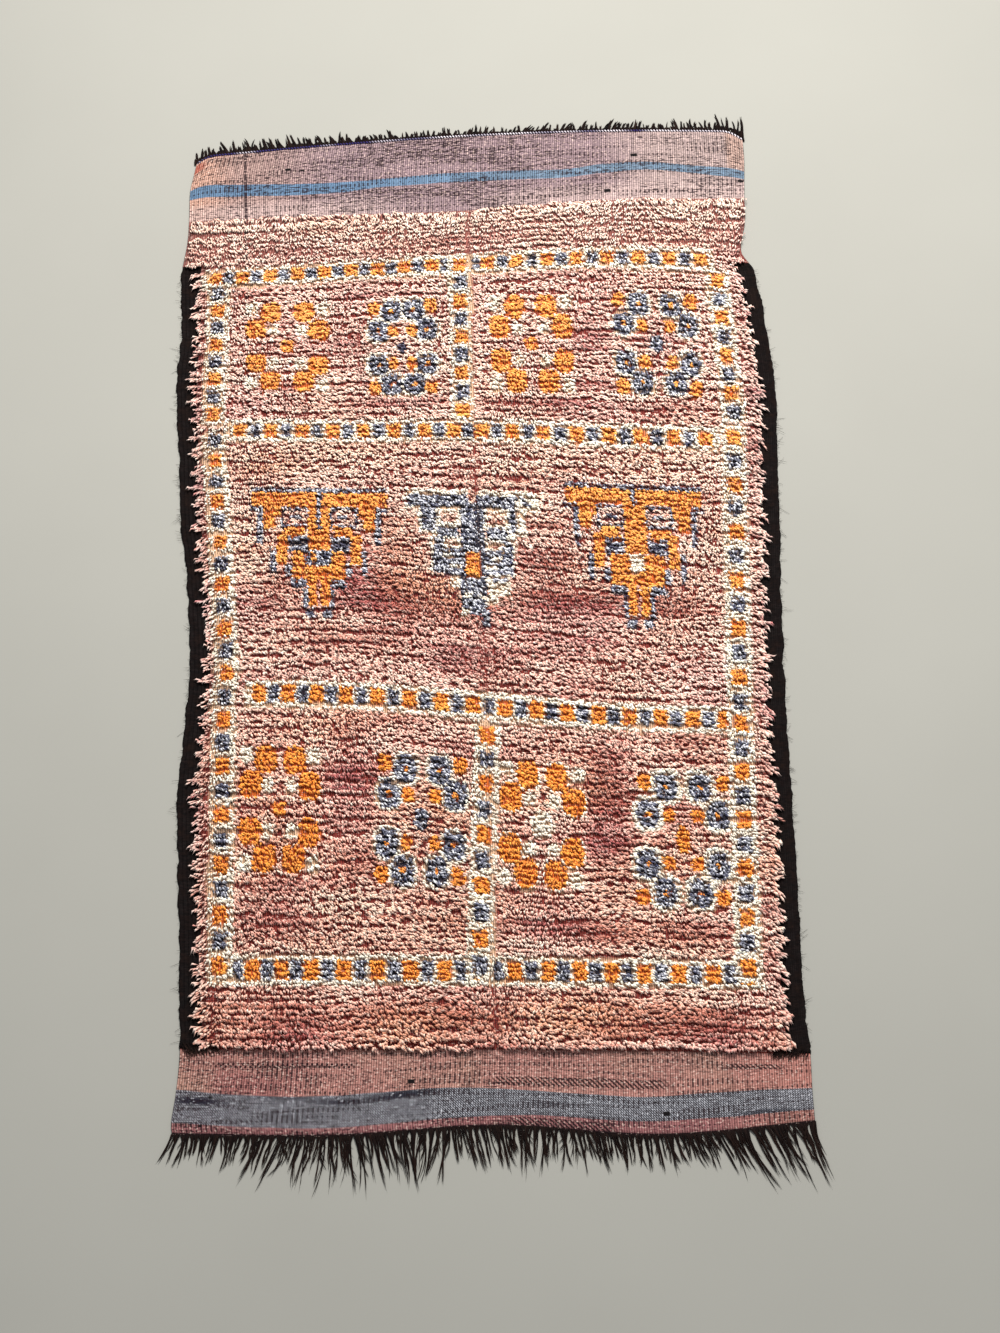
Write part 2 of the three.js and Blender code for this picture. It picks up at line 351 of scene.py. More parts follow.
class Nodes:
    """Shorthand for one material's node tree"""

    def __init__(self, name, **shader):
        self.material = bpy.data.materials.new(name)
        self.material.use_nodes = True
        self.tree = self.material.node_tree
        self.shader = self.tree.nodes["Principled BSDF"]
        for socket, value in shader.items():
            self.shader.inputs[socket.replace("_", " ")].default_value = value

    def node(self, kind, sockets, **settings):
        node = self.tree.nodes.new("ShaderNode" + kind)
        for key, value in settings.items():
            setattr(node, key, value)
        for key, value in sockets.items():
            if isinstance(value, bpy.types.NodeSocket):
                self.tree.links.new(value, node.inputs[key])
            else:
                node.inputs[key].default_value = value
        return node

    def attribute(self, name):
        return self.node("Attribute", {}, attribute_name=name)

    def math(self, operation, *values):
        return self.node("Math", dict(enumerate(values)), operation=operation).outputs[0]

    def noise(self, where, scale, detail=2.0):
        return self.node("TexNoise", {"Vector": where, "Scale": scale, "Detail": detail}).outputs[0]

    def stretch(self, where, scale):
        """Coordinates scaled by a different amount on each axis"""
        return self.node("Mapping", {"Vector": where, "Scale": scale}).outputs[0]

    def ramp(self, value, low, high, to_low=0.0, to_high=1.0):
        """Smooth step of a value from one level to another"""
        sockets = {0: value, 1: low, 2: high, 3: to_low, 4: to_high}
        return self.node("MapRange", sockets, interpolation_type="SMOOTHSTEP").outputs[0]

    def mix(self, factor, first, second, blend="MIX"):
        sockets = {0: factor, 6: first, 7: second}
        return self.node("Mix", sockets, data_type="RGBA", blend_type=blend).outputs[2]

    def colour(self, *levels):
        return (*srgb(*levels), 1.0)

    def blend(self, factor, first, second):
        """A mix of two colours, each given by its everyday levels"""
        return self.mix(factor, self.colour(*first), self.colour(*second))

    def paint(self, below, mask, *levels):
        """A colour laid over another where the mask is 1"""
        return self.mix(mask, below, self.colour(*levels))

    def shaded(self, colour, shade):
        """A colour times a grey level"""
        grey = self.node("CombineColor", {0: shade, 1: shade, 2: shade}).outputs[0]
        return self.mix(1.0, colour, grey, "MULTIPLY")

    def bump(self, height, distance):
        return self.node("Bump", {"Height": height, "Distance": distance}).outputs[0]

    def finish(self, colour, **others):
        self.tree.links.new(colour, self.shader.inputs["Base Color"])
        for name, value in others.items():
            self.tree.links.new(value, self.shader.inputs[name])
        return self.material


def yarn_material(name, contrast, fibre_depth, **shader):
    """Dyed yarn: the dye kept with each point, mottled along its fibres"""
    nodes = Nodes(name, **shader)
    strand = nodes.attribute("strand").outputs["Vector"]
    fibres = nodes.noise(nodes.stretch(strand, (1500.0, 1500.0, 160.0)), 1.0)
    clouds = nodes.noise(strand, 90.0, detail=1.0)
    level = nodes.math("ADD", nodes.math("MULTIPLY", fibres, 0.65), nodes.math("MULTIPLY", clouds, 0.35))
    shade = nodes.ramp(level, 0.3, 0.7, 1 - contrast, 1 + contrast)
    colour = nodes.shaded(nodes.attribute("dye").outputs["Color"], shade)
    rough = nodes.ramp(fibres, 0.2, 0.8, 0.82, 0.98)
    return nodes.finish(colour, Normal=nodes.bump(fibres, fibre_depth), Roughness=rough)


# The chart of the pile: which dye each place on the cloth is knotted in

ORANGE_HALF_WIDTH = 15.5
BLUE_HALF_WIDTH = 12.5
CREAM_LINE = 13
CREAM_OVERLAP = 4

# Rows of squares across the rug, and where their orange squares stand at even steps
SQUARE_ROWS = table(
    "along half_height oranges first a b c d last",
    (938, 17, 18, -609, -387, -174, 50, 291, 543),
    (462, 19, 16, -544, -330, -119, 80, 302, 523),
    (-256, 21, 16, -491, -302, -94, 112, 313, 518),
    (-880, 22, 17, -560, -362, -141, 89, 299, 529),
)

# Files of squares along the rug, first_dye 1 where the first square is orange and 0 where blue
SQUARE_FILES = table(
    "first last squares from_across to_across first_dye half_height",
    (894, 509, 8, -600, -606, 0, 19),
    (432, -202, 12, -603, -562, 0, 19),
    (-262, -871, 12, -568, -566, 0, 19),
    (883, 537, 8, 578, 592, 1, 18),
    (468, -211, 12, 587, 555, 1, 20),
    (-264, -863, 11, 553, 530, 1, 20),
    (934, 520, 9, -30, -30, 1, 19),
    (-326, -867, 10, 4, -26, 1, 20),
)

# Rosettes: their middle, the half spread of the end and side blobs and how far up the side and end
# blobs lie, how much the lower blobs stray left, how much the right side is raised, the blobs' dye
# and half height, the cream round a blob, and the dye and half size of the middle blob
ROSETTES = [
    (-437, 716, 39, 73, 54, 106, 0.0, -0.08, "orange", 30, 0, ("orange", 16, 19)),
    (-167, 702, 27, 56, 50, 107, 0.0, 0.0, "indigo", 30, 8, ("navy", 10, 14)),
    (134, 704, 37, 73, 47, 104, 0.0, 0.0, "orange", 33, 0, ("orange", 16, 18)),
    (426, 708, 38, 75, 52, 104, 0.0, 0.0, "indigo", 31, 6, ("indigo", 17, 21)),
    (-443, -526, 31, 62, 53, 111, 0.01, -0.03, "orange", 32, 0, ("orange", 14, 19)),
    (-137, -540, 36, 71, 58, 118, 0.04, 0.02, "indigo", 34, 7, ("indigo", 15, 24)),
    (120, -536, 31, 67, 61, 118, 0.05, -0.03, "orange", 35, 3, ("cream", 24, 32)),
    (419, -556, 37, 74, 63, 131, 0.05, 0.0, "indigo", 35, 11, ("orange", 14, 33)),
]
BLOB_HALF_WIDTH = 24
BLOB_SQUARENESS = 2.8

# Half sizes of the small blobs outside a rosette's corners, inside them and on its blue blobs,
# how far out the outer ones stand and how far in the inner ones
OUTER_ACCENT = (15, 20)
INNER_ACCENT = (13, 18)
SPECK = (5, 7)
OUTER_STEP = (10, 11)
INNER_SHARE = (0.82, 0.95)

# One half of an amulet: where each patch starts and ends, out from the amulet's middle line and
# then down from its top, and the patch's dye
ORANGE_AMULET_HALF = [
    (0, 156, -13, 0, "indigo"),
    (0, 152, 0, 40, "orange"),
    (128, 156, 42, 56, "indigo"),
    (82, 126, 38, 72, "orange"),
    (98, 126, 70, 104, "orange"),
    (126, 138, 56, 150, "indigo"),
    (22, 86, 42, 102, "indigo"),
    (28, 80, 50, 92, "rose"),
    (40, 64, 66, 76, "indigo"),
    (34, 76, 98, 130, "orange"),
    (0, 24, 38, 165, "orange"),
    (72, 94, 115, 205, "orange"),
    (26, 70, 126, 173, "indigo"),
    (36, 62, 142, 156, "navy"),
    (14, 60, 168, 245, "orange"),
    (96, 108, 165, 235, "indigo"),
    (60, 74, 205, 240, "indigo"),
    (0, 52, 212, 247, "orange"),
    (0, 16, 165, 212, "cream"),
    (24, 62, 247, 270, "indigo"),
    (5, 24, 245, 322, "orange"),
    (24, 34, 273, 330, "indigo"),
    (8, 28, 328, 354, "indigo"),
    (0, 5, -4, 44, "indigo"),
]
BLUE_AMULET_HALF = [
    (0, 156, -14, 40, "cream"),
    (0, 148, 0, 34, "indigo"),
    (76, 126, 36, 104, "cream"),
    (86, 116, 30, 98, "indigo"),
    (26, 84, 34, 90, "cream"),
    (36, 74, 46, 76, "rose"),
    (0, 27, 28, 155, "indigo"),
    (64, 98, 104, 210, "cream"),
    (66, 92, 118, 206, "indigo"),
    (34, 80, 86, 114, "indigo"),
    (28, 68, 114, 146, "cream"),
    (38, 60, 122, 138, "rose"),
    (10, 90, 144, 212, "indigo"),
    (44, 70, 160, 170, "cream"),
    (26, 54, 184, 194, "cream"),
    (26, 52, 212, 248, "cream"),
    (0, 30, 208, 314, "indigo"),
    (6, 30, 262, 272, "cream"),
    (0, 17, 150, 213, "orange"),
]

# Where the halves of the blue amulet and of the first orange one differ. The first two values are
# a patch's left and right side, from the middle line.
BLUE_AMULET_UNEVEN = [
    (-9, 10, -16, 20, "rose"),
    (104, 150, 6, 34, "cream"),
    (118, 134, 12, 24, "indigo"),
    (102, 124, 34, 100, "cream"),
    (34, 84, 206, 262, "cream"),
    (44, 76, 214, 226, "indigo"),
    (30, 54, 262, 286, "cream"),
    (-30, -10, 298, 318, "cream"),
    (18, 36, 300, 340, "indigo"),
]
SPLIT_AMULET_UNEVEN = [
    (-5, 4, 44, 110, "indigo"),
    (-30, 28, 166, 208, "indigo"),
    (-18, -6, 172, 196, "orange"),
]

# Amulets: the middle of the top bar, the width and height against the chart's, one half of the
# chart, and where the halves differ
AMULETS = [
    (-361, 284, 1.0, 0.97, ORANGE_AMULET_HALF, SPLIT_AMULET_UNEVEN),
    (-16, 286, 0.97, 1.0, BLUE_AMULET_HALF, BLUE_AMULET_UNEVEN),
    (350, 322, 1.0, 1.0, ORANGE_AMULET_HALF, []),
]


class Chart:
    """The dye of every pile end, painted as patches over patches"""

    def __init__(self, across, along):
        self.across = across
        self.along = along
        self.dye = np.zeros(across.shape, int)

    def patch(self, across, along, half_width, half_height, dye):
        beside = np.abs(self.across - across) < half_width
        self.dye[beside & (np.abs(self.along - along) < half_height)] = DYE_NAMES.index(dye)

    def blob(self, across, along, half_width, half_height, dye):
        from_side = np.abs(self.across - across) / half_width
        from_end = np.abs(self.along - along) / half_height
        inside = from_side ** BLOB_SQUARENESS + from_end ** BLOB_SQUARENESS < 1
        self.dye[inside] = DYE_NAMES.index(dye)


def paint_square_rows(chart):
    """Four rows of orange and blue squares between cream lines"""
    for along, half_height, oranges, *stops in zip(*SQUARE_ROWS.values()):
        places = np.interp(np.linspace(0, len(stops) - 1, int(oranges)), np.arange(len(stops)), stops)
        middle = (places[0] + places[-1]) / 2
        half_length = (places[-1] - places[0]) / 2 + 2 * ORANGE_HALF_WIDTH
        chart.patch(middle, along, half_length, half_height + CREAM_LINE, "cream")
        for across in places:
            chart.patch(across, along, ORANGE_HALF_WIDTH, half_height, "orange")
        for across in (places[1:] + places[:-1]) / 2:
            chart.patch(across, along, BLUE_HALF_WIDTH, half_height, "indigo")


def paint_square_files(chart):
    """Files of squares down both sides and the middle, with cream between"""
    for first, last, squares, start, end, first_dye, half_height in zip(*SQUARE_FILES.values()):
        squares = int(squares)
        alongs = np.linspace(first, last, squares)
        acrosses = np.linspace(start, end, squares)
        cream_half_height = (alongs[0] - alongs[1]) / 2 + CREAM_OVERLAP
        for along, across in zip(alongs, acrosses):
            chart.patch(across, along, ORANGE_HALF_WIDTH + CREAM_LINE, cream_half_height, "cream")
        for index, (along, across) in enumerate(zip(alongs, acrosses)):
            dye = "orange" if (index + int(first_dye)) % 2 else "indigo"
            chart.patch(across, along, ORANGE_HALF_WIDTH, half_height, dye)


def paint_rosette(chart, across, along, near, far, side_up, end_up, stray, lift, dye, tall, halo, middle):
    """Eight blobs in a ring round a middle one, with small accents at its corners and inside"""
    blue = dye == "indigo"
    accent_dye = "orange" if blue else "cream"

    def blob(dx, dy, half_width, half_height, dye):
        place = across + dx + stray * (dy - end_up), along + dy + lift * dx
        chart.blob(*place, half_width, half_height, dye)

    sides = [(side, end) for side in (-1, 1) for end in (-1, 1)]
    spots = [(side * near, end * end_up) for side, end in sides]
    spots += [(side * far, end * side_up) for side, end in sides]
    outer = [(side * (far + OUTER_STEP[0]), end * (end_up + OUTER_STEP[1])) for side, end in sides]
    inner = [(side * INNER_SHARE[0] * near, end * INNER_SHARE[1] * side_up) for side, end in sides]
    if halo:
        for spot in spots:
            blob(*spot, BLOB_HALF_WIDTH + halo, tall + halo, "cream")
    for spot in outer:
        blob(*spot, *OUTER_ACCENT, accent_dye)
    for spot in spots:
        blob(*spot, BLOB_HALF_WIDTH, tall, dye)
    for spot in inner:
        blob(*spot, *INNER_ACCENT, accent_dye)
    if blue:
        for spot in spots:
            blob(*spot, *SPECK, "orange")
    middle_dye, half_width, half_height = middle
    blob(0, 0, half_width, half_height, middle_dye)


def paint_amulets(chart):
    """Hanging amulets: a bar with two arms, a pair of eyes and a stem with two feet"""
    for across, along, width, height, half, uneven in AMULETS:
        patches = []
        for near, far, top, bottom, dye in half:
            patches += [(near, far, top, bottom, dye), (-far, -near, top, bottom, dye)]
        for left, right, top, bottom, dye in patches + uneven:
            middle = across + width * (left + right) / 2
            half_width = width * (right - left) / 2 + 0.5
            level = along - height * (top + bottom) / 2
            chart.patch(middle, level, half_width, height * (bottom - top) / 2, dye)


# Where the rose ground is deeper or faded, and leans to peach or to mauve
TONES = table(
    "across along reach_across reach_along depth warmth",
    (0, 1060, 900, 62, -0.75, 0.4),
    (470, 1050, 180, 60, -0.3, -0.2),
    (-385, 1066, 60, 26, 0.5, 0.4),
    (30, 1012, 160, 10, 0.8, 0.0),
    (-290, 740, 45, 130, 0.38, -0.2),
    (-498, 882, 70, 22, 0.5, 0.0),
    (275, 700, 50, 130, 0.5, -0.35),
    (0, 535, 620, 26, 0.5, -0.1),
    (-10, 700, 130, 130, -0.25, 0.1),
    (-400, 380, 230, 46, -0.1, 0.6),
    (280, 390, 320, 46, -0.25, 0.35),
    (-190, 120, 55, 100, 0.55, 0.6),
    (150, 110, 70, 120, 0.45, 0.0),
    (540, 110, 90, 130, -0.7, 0.4),
    (-520, 140, 60, 130, -0.35, 0.5),
    (-180, -8, 190, 26, 0.9, -0.1),
    (455, 25, 100, 28, 0.7, -0.1),
    (-30, -100, 560, 60, 0.45, -0.1),
    (-470, -130, 110, 60, -0.5, 0.1),
    (440, -130, 150, 60, -0.65, -0.45),
    (-294, -480, 50, 150, 0.65, -0.2),
    (-290, -735, 100, 34, -0.7, 0.6),
    (260, -480, 50, 170, 0.85, -0.25),
    (-470, -770, 110, 34, 0.7, 0.0),
    (-420, -690, 150, 26, 0.5, -0.2),
    (140, -780, 260, 34, 0.6, -0.1),
    (440, -785, 90, 30, 0.5, 0.0),
    (0, -985, 900, 62, 0.7, 0.4),
    (-370, 90, 90, 110, 0.3, 0.1),
    (0, -600, 900, 340, -0.04, 0.4),
    (0, 300, 900, 330, 0.04, 0.3),
    (0, 20, 620, 60, 0.74, 0.1),
    (-642, 0, 34, 1000, 0.35, -0.4),
    (642, 0, 34, 1000, 0.35, -0.4),
)


# From the first of these places along the rug to the second, the pile darkens, partly as dyes faded less
# and partly as painted shade of light falling off; the orange has these shares less of red, green and blue
LESS_FADED_AND_SHADED = (300, -400)
ORANGE_KEPT_AND_SHADED = np.array([0.0, 0.14, 0.36])

# Share of the indigo ends worn to white, and how much more of them round the blue amulet
WORN = 0.38
MORE_WORN = 0.18
MORE_WORN_MIDDLE = (-16, 150)
MORE_WORN_REACH = (150, 170)


def lerp(first, second, share):
    """Colours a share of the way from the first to the second"""
    return first + (second - first) * share[..., None]


def toward(colour, other, share):
    """A colour taken towards another by a share, held between 0 and 1"""
    return lerp(colour, other, np.clip(share, 0, 1))


def rose_tones(across, along, row_depth_and_shade, rng):
    """Body, tip and gap colours of the rose, in the patches, rows and clouds of hand-dyed wool; the roots'
    gap colours and part of the rows' depth are painted shade
    """
    # Clouds of deeper and paler rose, then whole rows and streaks along them that run deeper or paler,
    # partly as uneven dye and partly as painted shade of the rows
    depth = 0.2 * drift(rng, 90)(across, along * 2.2) + row_depth_and_shade
    depth += 0.25 * drift(rng, 9)(across * 0.07, along)
    warmth = 0.25 * drift(rng, 120)(across, along * 1.5)
    for middle, level, reach_across, reach_along, deeper, warmer in zip(*TONES.values()):
        from_middle = np.abs((across - middle) / reach_across)
        from_level = np.abs((along - level) / reach_along)
        share = np.exp(-from_middle ** 3 - from_level ** 3)
        depth += deeper * share
        warmth += warmer * share
    depth += rng.normal(0, 0.16, across.shape)
    rose = DYES["rose"]
    body = toward(rose["body"], ROSE_DEEP, 0.9 * depth.clip(0, 1))
    body = toward(body, ROSE_PALE, -depth)
    body = toward(body, ROSE_PEACH, 0.7 * warmth.clip(0, 1))
    body = toward(body, ROSE_MAUVE, 0.7 * (-warmth).clip(0, 1))
    # Tips fade less towards the rug's start: partly real fading, partly painted shade
    kept_and_shaded = blend_from(*LESS_FADED_AND_SHADED, along)
    fade = np.clip(0.9 - 0.54 * depth - 0.3 * kept_and_shaded + rng.normal(0, 0.27, across.shape), 0.08, 1)
    tip = lerp(body, rose["tip"], fade)
    # The roots are painted shade: darker where the rose is deep, lighter where it is pale
    gap = toward(rose["gap"], ROSE_SHADE, 1.1 * depth)
    gap = toward(gap, ROSE_SHADE_PALE, -depth)
    return body, tip, gap


# Pile

PILE_ROWS = 200
PILE_KNOTS = 100
PLIES = 3
PILE_BANDS = 10
PILE_HEIGHT = 15.0
PILE_LEAN = 15.5
PILE_SWING = 48
LESS_SWING_AT_END = 34
LAST_ROW_CLEAR = 3
ROOT_HEIGHT = 2.4
PLY_RADIUS = 1.65
KNOT_INSET = 4
END_STEP = 3.3
PLY_STEP = 2.2
PLY_OFFSETS = np.arange(PLIES) - (PLIES - 1) / 2

# Stations of a ply: how far along its lean and how high the root, shoulder and tip stand, and how
# much further out the shoulder of a ply that hangs over a selvedge is
PLY_RUN = np.array([0.0, 0.58, 1.0])
PLY_RISE = np.array([0.0, 0.92, 0.98])
PLY_BLUNTNESS = np.array([0.0, 0.24, 0.0])

# How the pile parts at the storage fold
PARTING_REACH = 11
PARTING_SWING = 34
PARTING_DEPTH = 4.0

# Lobes of pile over a selvedge
LOBES = 90
LOBE_PITCH = (26, 60)
LOBE_REACH = 21
LOBE_NECK = 5

# From how far inside the cloth's side the pile spreads and hangs out, and how far its tips move
# where there is a selvedge and where there is none
SPREAD_ZONE = (45, 5)
LOBE_ZONE = (30, 2)
SPREAD_OUT = 9
SPREAD_IN = -7

# The plain band of pile at each end, from where it begins to where it is full
START_BAND = (-920, -960)
END_BAND = (940, 980)


def charted_dye(across, along):
    """Which dye each place on the cloth is knotted in, as its number in DYE_NAMES"""
    chart = Chart(across, along)
    paint_square_rows(chart)
    paint_square_files(chart)
    for rosette in ROSETTES:
        paint_rosette(chart, *rosette)
    paint_amulets(chart)
    return chart.dye


def pile_dyes(across, along, row_depth_and_shade, rng):
    """Body, tip and gap colours of every pile end, and which ends are orange or cream"""
    stray = [rng.normal(0, 0.8, across.shape) for _ in range(2)]
    number = charted_dye(across + stray[0], along + stray[1])
    body, tip, gap = rose_tones(across, along, row_depth_and_shade, rng)
    fade = np.clip(rng.normal(0.5, 0.25, across.shape), 0, 1)
    for index, name in enumerate(DYE_NAMES[1:], 1):
        chosen = number == index
        dye = DYES[name]
        uneven = 0.45 if index == INDIGO else 0.12
        paled = 0.55 if index == INDIGO else 1.0
        body[chosen] = dye["body"] * rng.uniform(1 - uneven, 1 + uneven, (chosen.sum(), 1))
        tip[chosen] = lerp(dye["body"], dye["tip"], paled * fade[chosen])
        gap[chosen] = dye["gap"]
    orange = number == ORANGE
    # The orange darkens towards the rug's start: partly real fading, partly painted shade
    kept_and_shaded = 1 - ORANGE_KEPT_AND_SHADED * blend_from(*LESS_FADED_AND_SHADED, along[orange])[:, None]
    body[orange] *= kept_and_shaded
    tip[orange] *= kept_and_shaded

    away = [(place - middle) / reach
            for place, middle, reach in zip((across, along), MORE_WORN_MIDDLE, MORE_WORN_REACH)]
    worn = WORN + MORE_WORN * np.exp(-(away[0] ** 4 + away[1] ** 4))
    faded = (number == INDIGO) & (rng.random(across.shape) < worn)
    white = DYES["indigo"]["tip"]
    body[faded] = lerp(body[faded], white, rng.uniform(0.4, 1, faded.sum()))
    tip[faded] = white
    return body, tip, gap, orange | (number == CREAM)


class Draws:
    """Random values for the knots, pile ends and plies of the pile, in arrays of that shape"""

    def __init__(self, seed):
        self.rng = np.random.default_rng(seed)
        self.shape = (PILE_ROWS, PILE_KNOTS, 2, PLIES)

    def by_knot(self, spread):
        return self.rng.normal(0, spread, self.shape[:2])[..., None, None]

    def by_end(self, spread):
        return self.rng.normal(0, spread, self.shape[:3])[..., None]

    def by_ply(self, spread):
        return self.rng.normal(0, spread, self.shape)

    def drift(self, reach, across, along):
        return drift(self.rng, reach)(across, along)


def lay_roots(draw):
    """Where each ply is knotted, with its row's level along the rug and how messy the pile is"""
    row, knot, end, ply = np.meshgrid(
        np.arange(PILE_ROWS), np.arange(PILE_KNOTS), [-1, 1], PLY_OFFSETS, indexing="ij")
    first = FIELD_START + PILE_LEAN
    level = first + (FIELD_END - first - LAST_ROW_CLEAR) * row / (PILE_ROWS - 1)
    left = cloth_side(-1, level)
    right = cloth_side(1, level)
    brick = 0.25 * np.where(row % 2, 1, -1)
    place = (knot + 0.5 + brick + draw.by_knot(0.14)) / PILE_KNOTS
    across = left + KNOT_INSET + (right - left - 2 * KNOT_INSET) * np.clip(place, 0, 1)
    across += END_STEP * end + PLY_STEP * ply + draw.by_end(1.0)
    across += draw.by_ply(0.7)
    mess = np.clip(0.75 + 0.55 * draw.drift(120, across, level), 0.2, 1.3)
    along = level + 2.0 * draw.drift(70, across, level * 3)
    along += 2.2 * draw.drift(9, across * 0.1, level) + 2.0 * draw.drift(8, across * 0.35, level)
    along += 1.3 * draw.drift(7, across, level) + mess * draw.by_end(1.5) + draw.by_ply(1.0)
    return level, across, along, mess


def lean_over(draw, level, across, along, mess):
    """How far each ply leans, which way and how high it lies, and how far it parts at the fold"""
    lean = PILE_LEAN + 1.5 * draw.drift(60, across, along) + mess * draw.by_end(2.2)
    lean += draw.by_ply(1.8) - 0.5 * PLY_OFFSETS ** 2
    lean *= 1 + 0.6 * blend_from(FIELD_END - 34, FIELD_END - 12, level)
    swing = PILE_SWING + 24 * draw.drift(110, across, along) + 12 * draw.drift(12, across, along)
    swing -= LESS_SWING_AT_END * blend_from(FIELD_END - 170, FIELD_END - 110, level)
    swing += (4 + 9 * mess) * draw.by_end(1) - 4 * PLY_OFFSETS + draw.by_ply(15)
    height = PILE_HEIGHT + 0.8 * draw.drift(45, across, along) + draw.by_end(0.6) + draw.by_ply(0.8)

    from_crease = across - look_up(CREASE, "across", along)
    parting = np.exp(-(from_crease / PARTING_REACH) ** 2)
    swing += PARTING_SWING * np.sign(from_crease) * parting
    height -= PARTING_DEPTH * parting
    return lean, np.radians(swing), height, parting


def lobes(rng, along):
    """How far the pile hangs out at each place along a selvedge, and the middle of its lobe"""
    bounds = SELVEDGE_START + np.concatenate([[0], np.cumsum(rng.uniform(*LOBE_PITCH, LOBES))])
    lobe = np.clip(np.searchsorted(bounds, along) - 1, 0, len(bounds) - 2)
    middle = (bounds[lobe] + bounds[lobe + 1]) / 2
    half = (bounds[lobe + 1] - bounds[lobe]) / 2
    offset = np.clip(np.abs(along - middle) / half, 0, 1)
    stretch = rng.uniform(0.6, 1.15, len(bounds))[lobe]
    return LOBE_NECK + LOBE_REACH * stretch * (1 - offset ** 2.4), middle


def lay_tips(draw, level, across, along, lean, swing):
    """Where the tips lie, those near a selvedge drawn over it in lobes, how far each root is from
    the cloth's side, and how much its ply hangs out over a selvedge"""
    left = cloth_side(-1, level)
    right = cloth_side(1, level)
    side = np.where(across - left < right - across, -1, 1)
    side_line = np.where(side < 0, left, right)
    from_side = side * (side_line - across)
    spread = blend_from(*SPREAD_ZONE, from_side)
    tip_across = across + lean * np.sin(swing) * (1 - 0.6 * spread)
    tip_along = along - lean * (0.25 + 0.75 * np.cos(swing))

    selvedge_end = np.where(side < 0, SELVEDGE_ENDS[-1], SELVEDGE_ENDS[1])
    bound = (along > SELVEDGE_START + 6) & (along < selvedge_end - 4)
    tip_across += side * np.where(bound, SPREAD_OUT, SPREAD_IN) * spread
    outer = np.where(bound, blend_from(*LOBE_ZONE, from_side), 0)
    left_lobes = lobes(draw.rng, tip_along)
    reach, middle = np.where(side < 0, left_lobes, lobes(draw.rng, tip_along))
    reach = reach * (1 + 0.16 * draw.by_end(1) + 0.12 * draw.by_ply(1))
    lobe_across = side_line + side * (reach * (1 - from_side / 46) - 0.35 * from_side)
    tip_across += outer * (lobe_across - tip_across)
    tip_along += outer * (0.25 * (middle - tip_along) + draw.by_end(7) + draw.by_ply(3) - 5)
    return tip_across, tip_along, from_side, outer


def make_pile():
    """Rows of knots, two pile ends each of three plies, that lean towards the rug's start"""
    draw = Draws(11)
    level, across, along, mess = lay_roots(draw)
    lean, swing, height, parting = lean_over(draw, level, across, along, mess)
    tip_across, tip_along, from_side, outer = lay_tips(draw, level, across, along, lean, swing)

    height *= 0.86 + 0.14 * blend_from(0, 22, from_side)
    root = on_rug(across, along, ROOT_HEIGHT)
    tip = on_rug(tip_across, tip_along, ROOT_HEIGHT)
    run = PLY_RUN + outer[..., None] * PLY_BLUNTNESS
    centres = root[..., None, :] + (tip - root)[..., None, :] * run[..., None]
    centres[..., 2] += (height - ROOT_HEIGHT)[..., None] * PLY_RISE
    centres[..., 1, 0] += (mess * draw.by_end(1.6) + draw.by_ply(0.6)) * (1 - outer)
    centres[..., 1, 1] += outer * draw.by_end(3.5)
    centres[..., 2, 2] -= 2.5 * outer + draw.rng.uniform(0, 1.5, draw.shape)
    thick = PLY_RADIUS * draw.rng.uniform(0.75, 1.25, draw.shape)
    thick *= 1 + 0.3 * blend_from(*START_BAND, level)
    thick *= 1 - 0.14 * blend_from(*END_BAND, level)

    # Each row's own depth of rose, partly uneven dye and partly painted shade of the row
    row_depth_and_shade = draw.rng.normal(0, 0.2, PILE_ROWS)[:, None, None, None]
    seen_across = across + 0.7 * (tip_across - across)
    seen_along = along + 0.7 * (tip_along - along)
    body, pale, gap, bold = pile_dyes(seen_across, seen_along, row_depth_and_shade, draw.rng)
    thick *= np.where(bold, 1.15, 1.0)
    # Each end and ply is brighter or darker at random, and the pile is darker where it parts at the fold:
    # painted shade in the crease
    tone_and_fold_shade = (1 + draw.by_end(0.1) + draw.by_ply(0.13) - 0.16 * parting)[..., None].clip(0.55, 1.4)
    body = (body * tone_and_fold_shade).clip(0, 1)
    pale = (pale * tone_and_fold_shade).clip(0, 1)
    whitened = outer ** 2 * draw.rng.uniform(0, 0.75, draw.shape)
    body = lerp(body, DYES["cream"]["tip"], 0.3 * whitened)
    pale = lerp(pale, DYES["cream"]["tip"], whitened)
    # Each ply runs from its root, darkened as painted shade, through its body to its pale tip
    dye = np.stack([gap, (body + pale) / 2, pale], -2)

    forward = tip - root
    forward /= np.linalg.norm(forward, axis=-1, keepdims=True)
    sideways = np.cross([0.0, 0.0, 1.0], forward)
    bands = []
    for index, rows in enumerate(np.array_split(np.arange(PILE_ROWS), PILE_BANDS), 1):
        bands.append(strands(
            f"pile_band_{index}",
            centres[rows].reshape(-1, 3, 3),
            np.repeat(thick[rows].reshape(-1, 1), 3, axis=1),
            sideways[rows].reshape(-1, 3),
            dye[rows].reshape(-1, 3, 3),
            draw.rng,
            sides=3,
            widening=1.4,
            pointed_root=True,
        ))
    return bands


# Woven ground

COARSE_SPANS = 32
RIBS_PER_SPAN = 8
RIBS = COARSE_SPANS * RIBS_PER_SPAN
RIB_RELIEF = 0.42
EDGE_CORDS = 5
CORD_RELIEF = 0.9
WEAVE_ROW = 12
FIELD_ROW = 10.8
FIELD_STEP = 4
FELT_HEIGHT = 8.5


def strip(first, second):
    """Faces between two rows of points, facing the side where the first row runs left to right
    below the second. One row may have some whole number of times the other's steps."""
    steps = min(len(first), len(second)) - 1
    low = (len(first) - 1) // steps
    high = (len(second) - 1) // steps
    faces = []
    for index in range(steps):
        below = first[index * low:(index + 1) * low + 1]
        above = second[index * high:(index + 1) * high + 1]
        faces.append(np.concatenate([below, above[::-1]]))
    return faces


